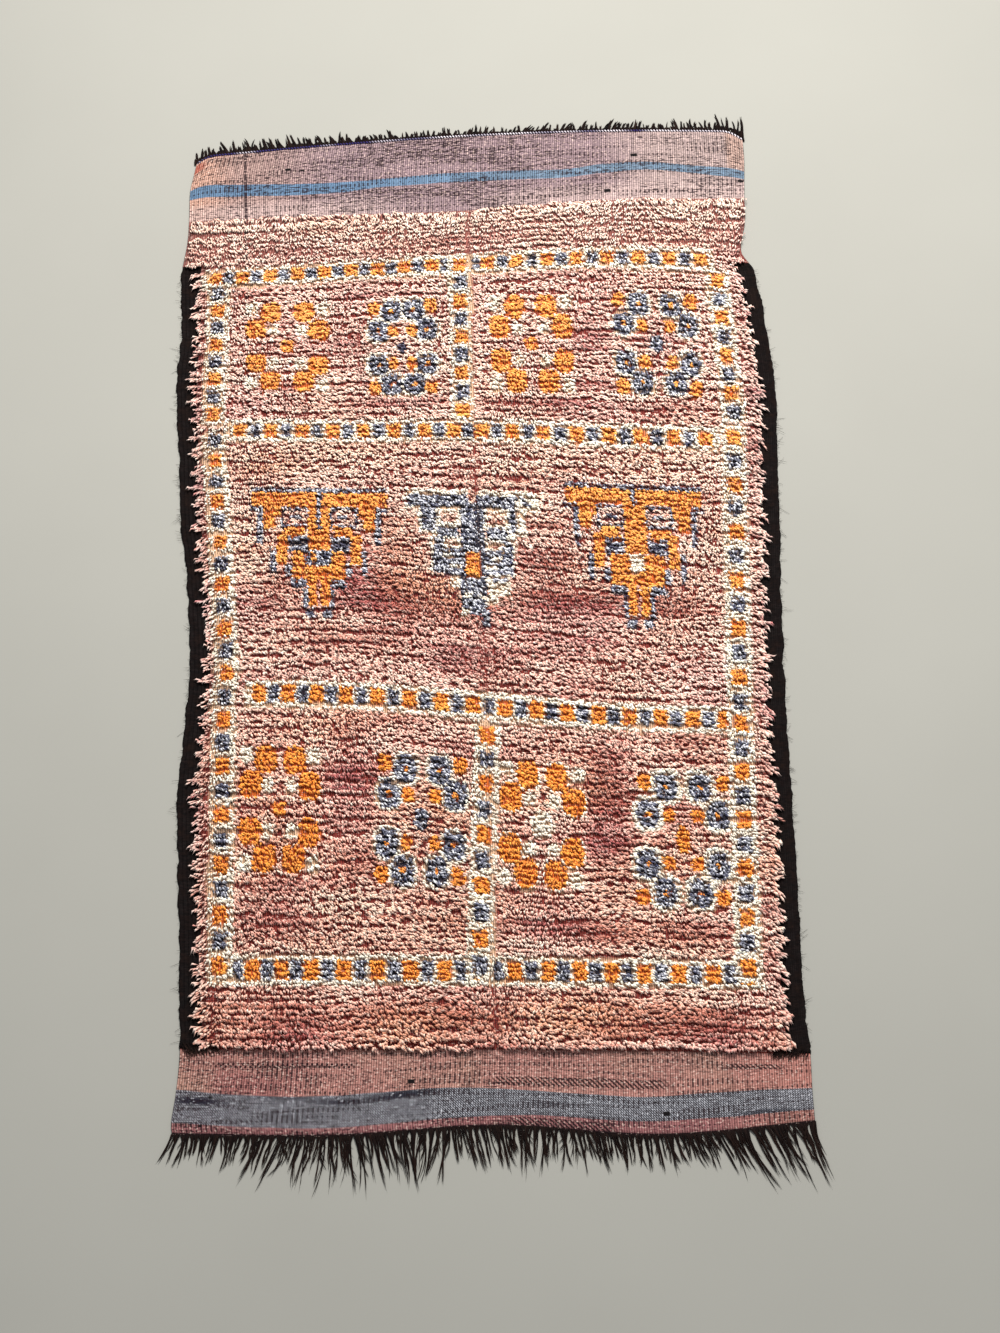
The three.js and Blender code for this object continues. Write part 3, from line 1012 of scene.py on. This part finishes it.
def make_slab(name, over, under):
    """A closed slab from rows of points over it and under it, and all its points"""
    rows = [*over, *under]
    points = np.concatenate(rows)
    numbers = np.split(np.arange(len(points)), np.cumsum([len(row) for row in rows])[:-1])
    over = numbers[:len(over)]
    under = numbers[len(over):]
    ring = [*under[::-1], *over, under[-1]]
    faces = [face for pair in zip(ring[:-1], ring[1:]) for face in strip(*pair)]
    left_over, left_under = ([row[0] for row in layer] for layer in (over, under))
    right_over, right_under = ([row[-1] for row in layer] for layer in (over, under))
    faces += strip(left_over, left_under) + strip(right_under, right_over)
    corners = np.concatenate(faces)
    piece = make_piece(name, points, corners, np.array([len(face) for face in faces]))

    flat = (points - points.min(0)) / np.ptp(points, axis=0)
    half = np.where(np.arange(len(points)) < under[0][0], 0.0, 0.5)
    flat = np.stack([0.01 + half + 0.48 * flat[:, 0], 0.02 + 0.96 * flat[:, 1]], -1)
    add_bake_map(piece, flat[corners])
    return piece, points


def cloth_rows():
    """Stations along the cloth: close together where the flat weave shows"""
    start = np.arange(CLOTH_START, FIELD_START + 20, WEAVE_ROW)
    field = np.arange(start[-1] + FIELD_ROW, FIELD_END - 24, FIELD_ROW)
    end = np.linspace(FIELD_END - 20, CLOTH_END, 21)
    steps = [SELVEDGE_START - STEP_CLEAR, SELVEDGE_ENDS[-1] + STEP_CLEAR, SELVEDGE_ENDS[1] + STEP_CLEAR]
    close = [step + shift for step in steps for shift in (-0.4, 0.4)]
    return np.sort(np.concatenate([start, field, end, close]))


def stripe_shape(cloth):
    """Middle and half width of the woven stripe at the nearer end of the rug, by place"""
    shape = np.zeros((len(cloth), 3))
    for column, key in enumerate(("middle", "half")):
        low, high = (look_up(stripe, key, cloth[:, 0]) for stripe in (BOTTOM_STRIPE, TOP_STRIPE))
        shape[:, column] = np.where(cloth[:, 1] > 0, high, low)
    return shape


def make_ground():
    """The woven cloth under the pile and at both ends, with a rib for each pair of warps"""
    alongs = cloth_rows()
    fine = (alongs < FIELD_START + 12) | (alongs > FIELD_END - 25)
    shares = np.linspace(0, 1, 2 * RIBS + 1)
    rng = np.random.default_rng(12)
    sway = drift(rng, 60)
    over = []
    under = []
    places = {"over": [], "under": []}

    def lay_row(face, along, share):
        """Keeps a row's places on the cloth, with the rib of each, and says where it runs"""
        left = cloth_side(-1, along)
        across = left + (cloth_side(1, along) - left) * share
        places[face].append(np.stack([across, np.full(share.size, along), share * RIBS / MM], -1))
        return across

    for along, is_fine in zip(alongs, fine):
        share = shares if is_fine else shares[::FIELD_STEP]
        across = lay_row("over", along, share)
        rib = share * RIBS
        cord = np.minimum(rib, RIBS - rib) < EDGE_CORDS
        peak = np.where(np.round(rib * 2) % 2, 1, -1) if is_fine else 0
        relief = np.where(cord, CORD_RELIEF, RIB_RELIEF) * peak
        base = WEAVE_THICKNESS if is_fine else FIELD_WEAVE_THICKNESS
        from_end = min(along - FIELD_START, FIELD_END - along)
        from_side = np.minimum(across - across[0], across[-1] - across)
        felted = blend_from(8, 30, from_end) * blend_from(0, 22, from_side)
        base = base + felted * (FELT_HEIGHT - base + rng.normal(0, 0.8, across.size))
        over.append(on_rug(across, along, base + relief + 0.35 * sway(across, along)))
        across = lay_row("under", along, shares[::2 * RIBS_PER_SPAN])
        under.append(on_rug(across, along, 0))

    piece, _ = make_slab("ground_weave", over, under)
    cloth = np.concatenate(places["over"] + places["under"])
    add_vectors(piece, "cloth", cloth * MM)
    add_vectors(piece, "stripe", stripe_shape(cloth) * MM)
    felts = np.array([dye["felt"] for dye in DYES.values()])
    felt = felts[charted_dye(cloth[:, 0], cloth[:, 1])]
    faded = 0.6 * blend_from(FIELD_END - 160, FIELD_END - 110, cloth[:, 1])
    add_dyes(piece, lerp(felt, FELT_FADED, faded))
    widths = cloth_side(1, alongs) - cloth_side(-1, alongs)
    flat_size = (widths.max() * MM, (CLOTH_END - CLOTH_START) * MM)
    return piece, flat_size, np.trapz(widths, alongs) * MM * MM


# Dark knots and stains on the flat weave: across and along in metres, and the half size
KNOTS = [
    (0.400, 1.249, 0.0085), (0.331, 1.134, 0.008), (-0.440, 1.262, 0.007), (-0.405, 1.256, 0.005),
    (0.654, 1.160, 0.007), (-0.560, 1.105, 0.004), (-0.172, -1.114, 0.007), (0.343, -1.172, 0.007),
    (-0.600, -1.196, 0.004), (-0.580, -1.142, 0.004), (0.170, -1.143, 0.003), (0.322, -1.150, 0.003),
]
DARK_WOOL = (30, 14, 20)


class Weave(Nodes):
    """Shorthand for patterns laid out by place on the cloth, in metres, and by rib of warp"""

    def __init__(self, name, **shader):
        super().__init__(name, **shader)
        self.cloth = self.attribute("cloth").outputs["Vector"]
        self.across, self.along, self.rib = self.node("SeparateXYZ", {0: self.cloth}).outputs
        self.plan = self.stretch(self.cloth, (1.0, 1.0, 0.0))
        self.clouds = self.noise(self.plan, 5.0, detail=3.0)
        wobble = self.math("MULTIPLY_ADD", self.noise(self.plan, 9.0), 0.006, -0.003)
        self.level = self.math("ADD", self.along, wobble)
        middle, half, _ = self.node("SeparateXYZ", {0: self.attribute("stripe").outputs["Vector"]}).outputs
        self.stripe = self.within(self.level, middle, half, 0.001)
        self.below_stripe = self.ramp(self.math("SUBTRACT", self.level, middle), 0.001, -0.001)
        self.at_top = self.ramp(self.along, -0.01, 0.01)

    def cycle(self, value):
        """A wave that goes from a half to 0 and back with each whole step of the value"""
        return self.math("ABSOLUTE", self.math("SUBTRACT", self.math("FRACT", value), 0.5))

    def twill(self, slant, value, ribs):
        """The same wave over a number of ribs, moved across as the value grows"""
        return self.cycle(self.math("MULTIPLY_ADD", value, slant, self.math("MULTIPLY", self.rib, 1 / ribs)))

    def within(self, value, middle, half, soft):
        """1 where the value is within half of the middle"""
        away = self.math("ABSOLUTE", self.math("SUBTRACT", value, middle))
        return self.ramp(away, self.math("SUBTRACT", half, soft), self.math("ADD", half, soft), 1.0, 0.0)

    def fold(self, operation, first, *others):
        for mask in others:
            first = self.math(operation, first, mask)
        return first

    def overlap(self, *masks):
        return self.fold("MULTIPLY", *masks)

    def either(self, *masks):
        return self.fold("MAXIMUM", *masks)

    def outside(self, mask):
        return self.math("SUBTRACT", 1.0, mask)

    def patch(self, across, half_width, along, half_height):
        return self.overlap(
            self.within(self.across, across, half_width, 0.02),
            self.within(self.level, along, half_height, 0.001),
        )

    def grain(self, across_rate, along_rate, detail=2.0):
        """Noise with so many clouds a metre across and along the cloth"""
        return self.noise(self.stretch(self.cloth, (across_rate, along_rate, 0.0)), 1.0, detail=detail)


def top_weave_colour(weave):
    """Mauve between peach edges, with a steel-blue stripe that bends"""
    across = weave.across
    to_right = weave.ramp(weave.math("MULTIPLY_ADD", weave.clouds, 0.2, across), 0.36, 0.58)
    far_right = weave.overlap(weave.ramp(across, 0.618, 0.632), weave.ramp(weave.level, 1.17, 1.22))
    near_pile = weave.ramp(weave.level, 1.172, 1.13)
    paler = weave.overlap(near_pile, weave.outside(weave.within(across, -0.08, 0.13, 0.1)), 0.6)
    dashes = weave.either(weave.patch(0.16, 0.05, 1.128, 0.004), weave.patch(0.5, 0.1, 1.127, 0.004))
    dashes = weave.overlap(dashes, weave.ramp(weave.twill(0.0, weave.level, 2), 0.2, 0.3), 0.85)
    ground = weave.blend(to_right, (124, 104, 108), (146, 127, 124))
    ground = weave.paint(ground, weave.ramp(across, -0.3, -0.56), 140, 114, 108)
    ground = weave.paint(ground, weave.ramp(across, -0.655, -0.55, 1.0, 0.0), 168, 130, 114)
    ground = weave.paint(ground, far_right, 150, 124, 114)
    ground = weave.paint(ground, paler, 172, 150, 146)
    ground = weave.paint(ground, dashes, 42, 26, 34)
    left_blue = weave.blend(weave.noise(weave.plan, 70.0), (64, 88, 114), (96, 120, 144))
    right_blue = weave.blend(weave.noise(weave.plan, 50.0), (72, 96, 118), (114, 128, 142))
    blue = weave.mix(weave.ramp(across, -0.4, 0.35), left_blue, right_blue)
    return weave.mix(weave.stripe, ground, blue)


def bottom_weave_colour(weave):
    """Dusty rose with a grey-blue twill stripe and rows of stitched dashes"""
    across = weave.across
    to_right = weave.ramp(across, 0.4, 0.62)
    ground = weave.blend(to_right, (148, 104, 96), (154, 104, 95))
    ground = weave.paint(ground, weave.ramp(across, -0.32, -0.5), 136, 88, 84)
    ground = weave.paint(ground, weave.ramp(weave.clouds, 0.46, 0.8), 152, 116, 102)
    hem = weave.blend(to_right, (126, 82, 82), (142, 96, 88))
    ground = weave.mix(weave.below_stripe, ground, hem)
    grey_blue = weave.blend(weave.ramp(across, -0.62, 0.1), (28, 24, 36), (40, 42, 50))
    ground = weave.mix(weave.stripe, ground, grey_blue)
    fine_twill = weave.ramp(weave.twill(210.0, weave.along, 1), 0.27, 0.33)
    crossed = weave.overlap(fine_twill, weave.ramp(weave.grain(3.5, 24.0, 1.0), 0.28, 0.44))
    pale = weave.either(crossed, weave.ramp(weave.grain(130.0, 260.0, 1.0), 0.6, 0.66))
    ground = weave.paint(ground, weave.overlap(pale, weave.stripe, 0.6), 188, 188, 194)

    step = weave.math("FLOOR", weave.math("MULTIPLY", weave.level, 200.0))
    checks = weave.ramp(weave.twill(0.5, step, 2), 0.22, 0.28)
    zigzag = weave.overlap(weave.patch(-0.43, 0.15, -1.08, 0.005), checks)
    rows = weave.either(
        weave.patch(0.17, 0.18, -1.116, 0.009),
        weave.patch(0.53, 0.06, -1.08, 0.006),
        weave.patch(0.13, 0.11, -1.202, 0.009),
    )
    dark_twill = weave.ramp(weave.twill(105.0, weave.along, 2), 0.2, 0.28)
    dashes = weave.overlap(weave.either(zigzag, weave.overlap(rows, dark_twill)), 0.92)
    last_cord = weave.ramp(weave.along, -1.2085, -1.2105, 0.0, 0.95)
    return weave.paint(ground, weave.either(dashes, last_cord), 24, 8, 12)


def weave_material():
    """Weft-faced flat weave: ribs of warp, streaks, a blue stripe at each end and stitched dashes"""
    weave = Weave("flat_weave_wool", Sheen_Weight=0.1, Sheen_Roughness=0.5, Specular_IOR_Level=0.1)
    colour = weave.mix(weave.at_top, bottom_weave_colour(weave), top_weave_colour(weave))
    under_pile = weave.within(weave.along, 0.0275, 1.0765, 0.002)
    colour = weave.mix(under_pile, colour, weave.attribute("dye").outputs["Color"])
    bare = weave.outside(under_pile)

    streak = weave.grain(44.0, 260.0)
    busy = weave.overlap(weave.within(weave.across, -0.09, 0.16, 0.12), weave.at_top)
    streak = weave.math("MULTIPLY_ADD", busy, 0.06, streak)
    streaks = weave.overlap(
        weave.ramp(streak, 0.53, 0.59),
        weave.ramp(weave.grain(4.0, 16.0, 1.0), 0.38, 0.52),
        bare,
        weave.ramp(weave.along, -0.01, 0.01, 0.5, 0.85),
    )
    colour = weave.paint(colour, streaks, *DARK_WOOL)
    dotted = weave.overlap(
        weave.ramp(weave.grain(6.0, 95.0, 1.0), 0.52, 0.58),
        weave.ramp(weave.twill(0.0, weave.along, 2), 0.22, 0.3),
        bare,
        0.75,
    )
    colour = weave.paint(colour, dotted, *DARK_WOOL)
    fleck = weave.grain(140.0, 260.0, 1.0)
    quiet = weave.ramp(weave.across, -0.05, 0.25, 1.0, 0.55)
    dark_flecks = weave.overlap(weave.ramp(fleck, 0.6, 0.67, 0.0, 0.85), quiet)
    colour = weave.paint(colour, dark_flecks, *DARK_WOOL)
    pale_flecks = weave.overlap(weave.ramp(fleck, 0.42, 0.34, 0.0, 0.45), weave.outside(weave.stripe))
    colour = weave.paint(colour, pale_flecks, 206, 180, 168)

    slanted = weave.math("MULTIPLY_ADD", weave.along, 0.025, weave.across)
    broken = weave.ramp(weave.grain(0.0, 110.0), 0.4, 0.46)
    dark_warp = weave.overlap(weave.within(slanted, -0.5115, 0.0036, 0.001), broken, weave.at_top, 0.85)
    colour = weave.paint(colour, dark_warp, *DARK_WOOL)
    rusty_corner = weave.overlap(weave.patch(-0.66, 0.012, 1.31, 0.014), 0.8)
    colour = weave.paint(colour, rusty_corner, 140, 52, 34)
    for across, along, half in KNOTS:
        knot = weave.overlap(
            weave.within(weave.across, across, half, 0.0015),
            weave.within(weave.along, along, half * 0.6, 0.0012),
        )
        colour = weave.paint(colour, knot, 8, 4, 6)

    # Painted shade in the valleys between ribs and a painted highlight on their crests, times each rib's own
    # random tone
    painted_rib_shade = weave.ramp(weave.cycle(weave.rib), 0.12, 0.5, 1.25, 0.4)
    rib_tone = weave.ramp(weave.grain(120.0, 12.0), 0.3, 0.7, 0.82, 1.18)
    colour = weave.shaded(colour, weave.overlap(painted_rib_shade, rib_tone))
    wefts = weave.grain(90.0, 620.0)
    height = weave.math("MULTIPLY_ADD", wefts, 0.7, weave.math("MULTIPLY", streak, 0.3))
    rough = weave.ramp(wefts, 0.2, 0.8, 0.82, 0.98)
    return weave.finish(colour, Normal=weave.bump(height, 0.0009), Roughness=rough)


# Goat-hair selvedges

BUNDLES = 5
SELVEDGE_ROW = 6
BUNDLE_POINTS = 4
BUNDLE_FOOT = 2.6
BUNDLE_ARCH = 3.2
SELVEDGE_NAMES = {-1: "left_selvedge_band", 1: "right_selvedge_band"}


def make_selvedge(side):
    """A band of five dark warp bundles, each wrapped over and over"""
    rng = np.random.default_rng(20 + side)
    alongs = np.arange(SELVEDGE_START, SELVEDGE_ENDS[side] + 0.1, SELVEDGE_ROW)[:, None]
    alongs[-1] = SELVEDGE_ENDS[side]
    shares = np.linspace(0, 1, BUNDLES * BUNDLE_POINTS + 1)
    edge = edge_across(side, alongs)
    inner = edge - side * SELVEDGE_WIDTH
    pull = 0.7 * rng.normal(0, 1, alongs.shape) + 1.3 * drift(rng, 30)(edge, alongs)
    across = inner + (edge - inner) * shares + side * np.clip(shares * 3 - 2, 0, 1) * pull
    arch = np.sin(np.pi * (shares * BUNDLES % 1)) ** 0.6
    arch[[0, -1]] = 0
    height = BUNDLE_FOOT + BUNDLE_ARCH * arch * rng.uniform(0.86, 1.06, alongs.shape)
    over = on_rug(across, alongs, height)[:, ::side]
    under = over[:, [0, -1]] * [1, 1, 0]
    piece, points = make_slab(SELVEDGE_NAMES[side], over, under)
    add_vectors(piece, "cloth", points * MM)
    return piece


def goat_hair_wrap_material():
    """Near-black wrapped hair: wraps across the band and a little brown"""
    nodes = Nodes("goat_hair_wrap", Specular_IOR_Level=0.05)
    cloth = nodes.attribute("cloth").outputs["Vector"]
    wraps = nodes.noise(nodes.stretch(cloth, (70.0, 700.0, 70.0)), 1.0)
    clouds = nodes.noise(cloth, 40.0, detail=3.0)
    colour = nodes.blend(nodes.ramp(wraps, 0.4, 0.7), (8, 5, 5), (24, 16, 15))
    colour = nodes.paint(colour, nodes.ramp(clouds, 0.5, 0.75, 0.0, 0.5), 34, 24, 20)
    rough = nodes.ramp(clouds, 0.3, 0.7, 0.6, 0.9)
    return nodes.finish(colour, Normal=nodes.bump(wraps, 0.0012), Roughness=rough)


def make_hairs(name, paths, radii, rng, sideways=(0.0, 1.0, 0.0), browning=0.5):
    """One piece of goat hairs, near black at the root and browner towards the tip"""
    centres = np.array(paths)
    count, stations = centres.shape[:2]
    share = browning * np.linspace(0, 1, stations) ** 2 + rng.normal(0.08, 0.12, (count, 1))
    dye = toward(GOAT_HAIR_DARK, GOAT_HAIR_BROWN, share)
    return strands(name, centres, radii, np.tile(sideways, (count, 1)), dye, rng, sides=3)


WISPS = 240
SPILL_HAIRS = 70
SPILL_WIDTH = 76
WISP_RADIUS = 0.42
WISP_STATIONS = 5


def make_wisps():
    """Stray hairs that stand out from the selvedges and spill over the weave at their feet"""
    rng = np.random.default_rng(31)
    run = np.linspace(0, 1, WISP_STATIONS)
    paths = []
    for side in (-1, 1):
        along = rng.uniform(SELVEDGE_START + 6, SELVEDGE_ENDS[side] - 6, WISPS)
        length = 5 + rng.exponential(6, WISPS).clip(0, 26)
        away = rng.normal(0, 0.7, WISPS)
        droop = rng.uniform(0, 1, WISPS)
        across = edge_across(side, along) - side * 2.5
        out = side * length * np.cos(away)
        off = length * np.sin(away)
        for index in range(WISPS):
            sag = droop[index]
            height = 3.4 + 2 * np.sin(run * 2.2) * (1 - sag) - 2.4 * sag * run
            curl = 1.4 * np.sin(run * 4 + index)
            end_along = along[index] + off[index] * run + curl * run
            paths.append(on_rug(across[index] + out[index] * run, end_along, height))
    for side in (-1, 1):
        for index in range(SPILL_HAIRS):
            along = SELVEDGE_START + rng.uniform(2, 12)
            across = edge_across(side, along) - side * rng.uniform(2, SPILL_WIDTH)
            out = rng.normal(0, 0.6) - side * rng.uniform(4, 18)
            off = -rng.uniform(14, 28)
            height = 6.5 - 1.2 * run + 1.5 * np.sin(math.pi * run)
            curl = 2.5 * np.sin(run * 4 + index)
            paths.append(on_rug(across + (out + curl) * run, along + off * run, height))
    radii = WISP_RADIUS * np.tile(np.linspace(1, 0.5, WISP_STATIONS), (len(paths), 1))
    radii[-2 * SPILL_HAIRS:] *= 2.2
    return make_hairs("selvedge_wisps", paths, radii, rng)


# Fringes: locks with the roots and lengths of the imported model, leaning as they lie

LONG_LOCKS = table(
    "across length lean",
    (-655, 62, -30), (-600, 70, -14), (-540, 74, -20), (-470, 92, -30), (-400, 100, -32),
    (-330, 112, -6), (-236, 120, 24), (-170, 124, 8), (-121, 112, -22), (-70, 110, 16),
    (0, 112, 22), (60, 120, 0), (100, 118, -10), (150, 100, 16), (220, 78, 8), (330, 76, 12),
    (400, 80, 28), (450, 98, 44), (520, 120, 54), (590, 140, 52), (641, 134, 34),
)
SHORT_LOCKS = table(
    "across length lean",
    (-662, 34, -4), (-580, 36, -9), (-410, 34, -8), (-165, 24, -5), (80, 25, 4), (325, 27, 10),
    (570, 36, -8), (668, 52, 6),
)
LONG_FRINGE = SimpleNamespace(
    name="long_fringe_hair", seed=51, end=CLOTH_START, direction=-1, locks=LONG_LOCKS, pitch=19,
    uneven=0.14, hairs=32, stations=6, gather=0.8, clumps=4, ragged=(0.55, 1.1), stubs=0.34,
    stub_reach=(0.25, 0.6), thickness=1.05, browning=0.45)
SHORT_FRINGE = SimpleNamespace(
    name="short_fringe_hair", seed=52, end=CLOTH_END, direction=1, locks=SHORT_LOCKS, pitch=21,
    uneven=0.18, hairs=20, stations=5, gather=0.72, clumps=2, ragged=(0.75, 1.35), stubs=0.6,
    stub_reach=(0.3, 0.42), thickness=2.8, browning=0.0)
LOCK_ROOT = 15
FRINGE_TUCK = 1.5


def lock_hairs(fringe, rng, index, centre):
    """The hairs of one lock, in a few clumps that are each cut to their own length"""
    run = np.linspace(0, 1, fringe.stations)
    uneven = 1 + fringe.uneven * math.sin(2.4 * index + 0.7 * math.sin(1.3 * index))
    length, lean = (float(look_up(fringe.locks, key, centre)) * uneven for key in ("length", "lean"))
    back = on_rug(centre, fringe.end, 0)[1]
    clump_width = fringe.pitch / fringe.clumps
    steps = (np.arange(fringe.hairs) + rng.uniform(0, 1, fringe.hairs)) / fringe.hairs
    hairs = []
    for offset in fringe.pitch * (steps - 0.5):
        clump = math.floor((offset + fringe.pitch / 2) / clump_width)
        bunch = (clump + 0.5) * clump_width - fringe.pitch / 2
        bunch_rng = np.random.default_rng([fringe.seed, index, clump])
        stub = rng.random() < fringe.stubs
        cut = rng.uniform(*fringe.stub_reach) if stub else rng.uniform(0.75, 1)
        reach = length * bunch_rng.uniform(*fringe.ragged) * cut
        hair_lean = lean * reach / length + bunch_rng.normal(0, 5) + rng.normal(0, 1.5)
        root_y = on_rug(centre + offset, fringe.end, 0)[1]
        drawn = 0 if stub else fringe.gather * blend_from(0, 0.35, run) * rng.uniform(0.7, 1.15)
        wave = rng.normal(0, 1.2) * np.sin(run * rng.uniform(3, 7) + rng.uniform(0, 6))
        bow = bunch_rng.normal(0, 0.05) * length * np.sin(math.pi * run)
        x = centre + offset + (bunch - offset) * drawn + hair_lean * run ** 1.2 + wave * run + bow
        y = root_y + fringe.direction * ((reach + FRINGE_TUCK) * run - FRINGE_TUCK)
        y += (back - root_y) * run * 0.5
        z = 3.4 - 2.3 * run + 1.8 * np.sin(math.pi * run) * rng.uniform(0, 1)
        hairs.append(np.stack([x, y, z], -1))
    return hairs


def make_fringe(fringe):
    """Locks of loose warp ends that gather to points"""
    rng = np.random.default_rng(fringe.seed)
    first = cloth_side(-1, fringe.end) + LOCK_ROOT / 2
    last = cloth_side(1, fringe.end) - LOCK_ROOT / 2
    count = math.ceil((last - first) / fringe.pitch)
    paths = []
    for index, centre in enumerate(np.linspace(first, last, count + 1)):
        paths += lock_hairs(fringe, rng, index, centre)
    thick = fringe.thickness * rng.uniform(0.7, 1.2, (len(paths), 1))
    radii = thick * (1 - 0.65 * np.linspace(0, 1, fringe.stations) ** 1.5)
    return make_hairs(fringe.name, paths, radii, rng, (1.0, 0.0, 0.0), fringe.browning)


TWINE_PITCH = 7
TWINE_RADIUS = 1.6
TWINE_INSET = 3
TWINE_HEIGHT = 4.4
TWINE_SWAY = 1.7
TWINE_RISE = 1.2
TWINE_STEPS = 6


def make_twine():
    """Two cords twined along the end with short tufts, one dark and one violet and white"""
    rng = np.random.default_rng(41)
    first = cloth_side(-1, CLOTH_END) + 2
    last = cloth_side(1, CLOTH_END) - 2
    turns = round((last - first) / TWINE_PITCH)
    angle = np.linspace(0, math.tau * turns, turns * TWINE_STEPS + 1)
    across = np.linspace(first, last, angle.size)

    def cord(name, phase, dye):
        along = CLOTH_END - TWINE_INSET + TWINE_SWAY * np.cos(angle + phase)
        path = on_rug(across, along, TWINE_HEIGHT + TWINE_RISE * np.sin(angle + phase))
        radii = np.full((1, angle.size), TWINE_RADIUS)
        return strands(name, path[None], radii, np.array([[0.0, 1.0, 0.0]]), dye[None], rng)

    dark = cord("twined_edge_dark", 0.0, np.broadcast_to(srgb(30, 22, 34), (angle.size, 3)))
    paler = blend_from(-450, 60, across) - 0.25 + 0.6 * drift(rng, 30)(across, 0)
    violet_and_white = toward(srgb(52, 46, 98), srgb(220, 212, 218), paler)
    return [dark, cord("twined_edge_pale", math.pi, violet_and_white)]


# Floor, light and camera

def make_floor():
    """A pale grey plane, much larger than the rug"""
    half = 40.0
    mesh = bpy.data.meshes.new("floor")
    corners = [(-half, -half, 0), (half, -half, 0), (half, half, 0), (-half, half, 0)]
    mesh.from_pydata(corners, [], [(0, 1, 2, 3)])
    nodes = Nodes("pale_floor", Roughness=0.8)
    clouds = nodes.noise(nodes.node("TexCoord", {}).outputs["Object"], 1.5, detail=4.0)
    mesh.materials.append(nodes.finish(nodes.blend(clouds, (138, 137, 130), (146, 145, 138))))
    add_object("floor", mesh)


def make_light():
    """A pale studio with one large soft light over the rug's far end"""
    scene = bpy.context.scene
    scene.view_settings.view_transform = "Standard"
    scene.world = bpy.data.worlds.new("studio")
    scene.world.use_nodes = True
    background = scene.world.node_tree.nodes["Background"]
    background.inputs["Color"].default_value = (0.93, 0.96, 1.0, 1.0)
    background.inputs["Strength"].default_value = 0.6
    light = bpy.data.lights.new("window", "AREA")
    light.shape = "DISK"
    light.size = 2.4
    light.energy = 500
    light.color = (1.0, 0.97, 0.93)
    window = add_object("window", light)
    window.location = (0.6, 2.9, 4.4)
    window.rotation_euler = (-Vector(window.location)).to_track_quat("-Z", "Y").to_euler()


def make_camera():
    """The camera stands at the rug's start and looks down on it"""
    data = bpy.data.cameras.new("camera")
    data.sensor_fit = "HORIZONTAL"
    data.sensor_width = 36.0
    data.lens = 104.99
    data.clip_end = 60.0
    camera = add_object("camera", data)
    camera.location = (-0.0192, -3.2703, 5.5874)
    camera.rotation_euler = (0.50933, 0.00585, -0.02798)
    bpy.context.scene.camera = camera


def dress(piece, material, slot, *nodes):
    """Gives a piece its material and its body, and hides the imported parts it stands for; slot is not used
    """
    piece.data.materials.append(material)
    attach(piece, "root")
    if nodes:
        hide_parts(*nodes)


make_camera()
make_light()
make_floor()

pile_wool = yarn_material("pile_wool", 0.18, 0.0005, Sheen_Weight=0.05, Sheen_Roughness=0.4,
                          Specular_IOR_Level=0.06)
goat_hair = yarn_material("goat_hair", 0.3, 0.0002, Specular_IOR_Level=0.06)
wrap = goat_hair_wrap_material()

ground, flat_size, flat_area = make_ground()
dress(ground, weave_material(), "rose_wool", "rug_cloth")

trimmings = [
    *((band, pile_wool, "rose_wool") for band in make_pile()),
    (make_selvedge(-1), wrap, "goat_hair", "left_selvedge"),
    (make_selvedge(1), wrap, "goat_hair", "right_selvedge"),
    (make_wisps(), goat_hair, "goat_hair"),
    (make_fringe(LONG_FRINGE), goat_hair, "goat_hair", "long_fringe"),
    (make_fringe(SHORT_FRINGE), goat_hair, "goat_hair", "short_fringe"),
    *((cord, goat_hair, "goat_hair") for cord in make_twine()),
]
for trimming in trimmings:
    dress(*trimming)
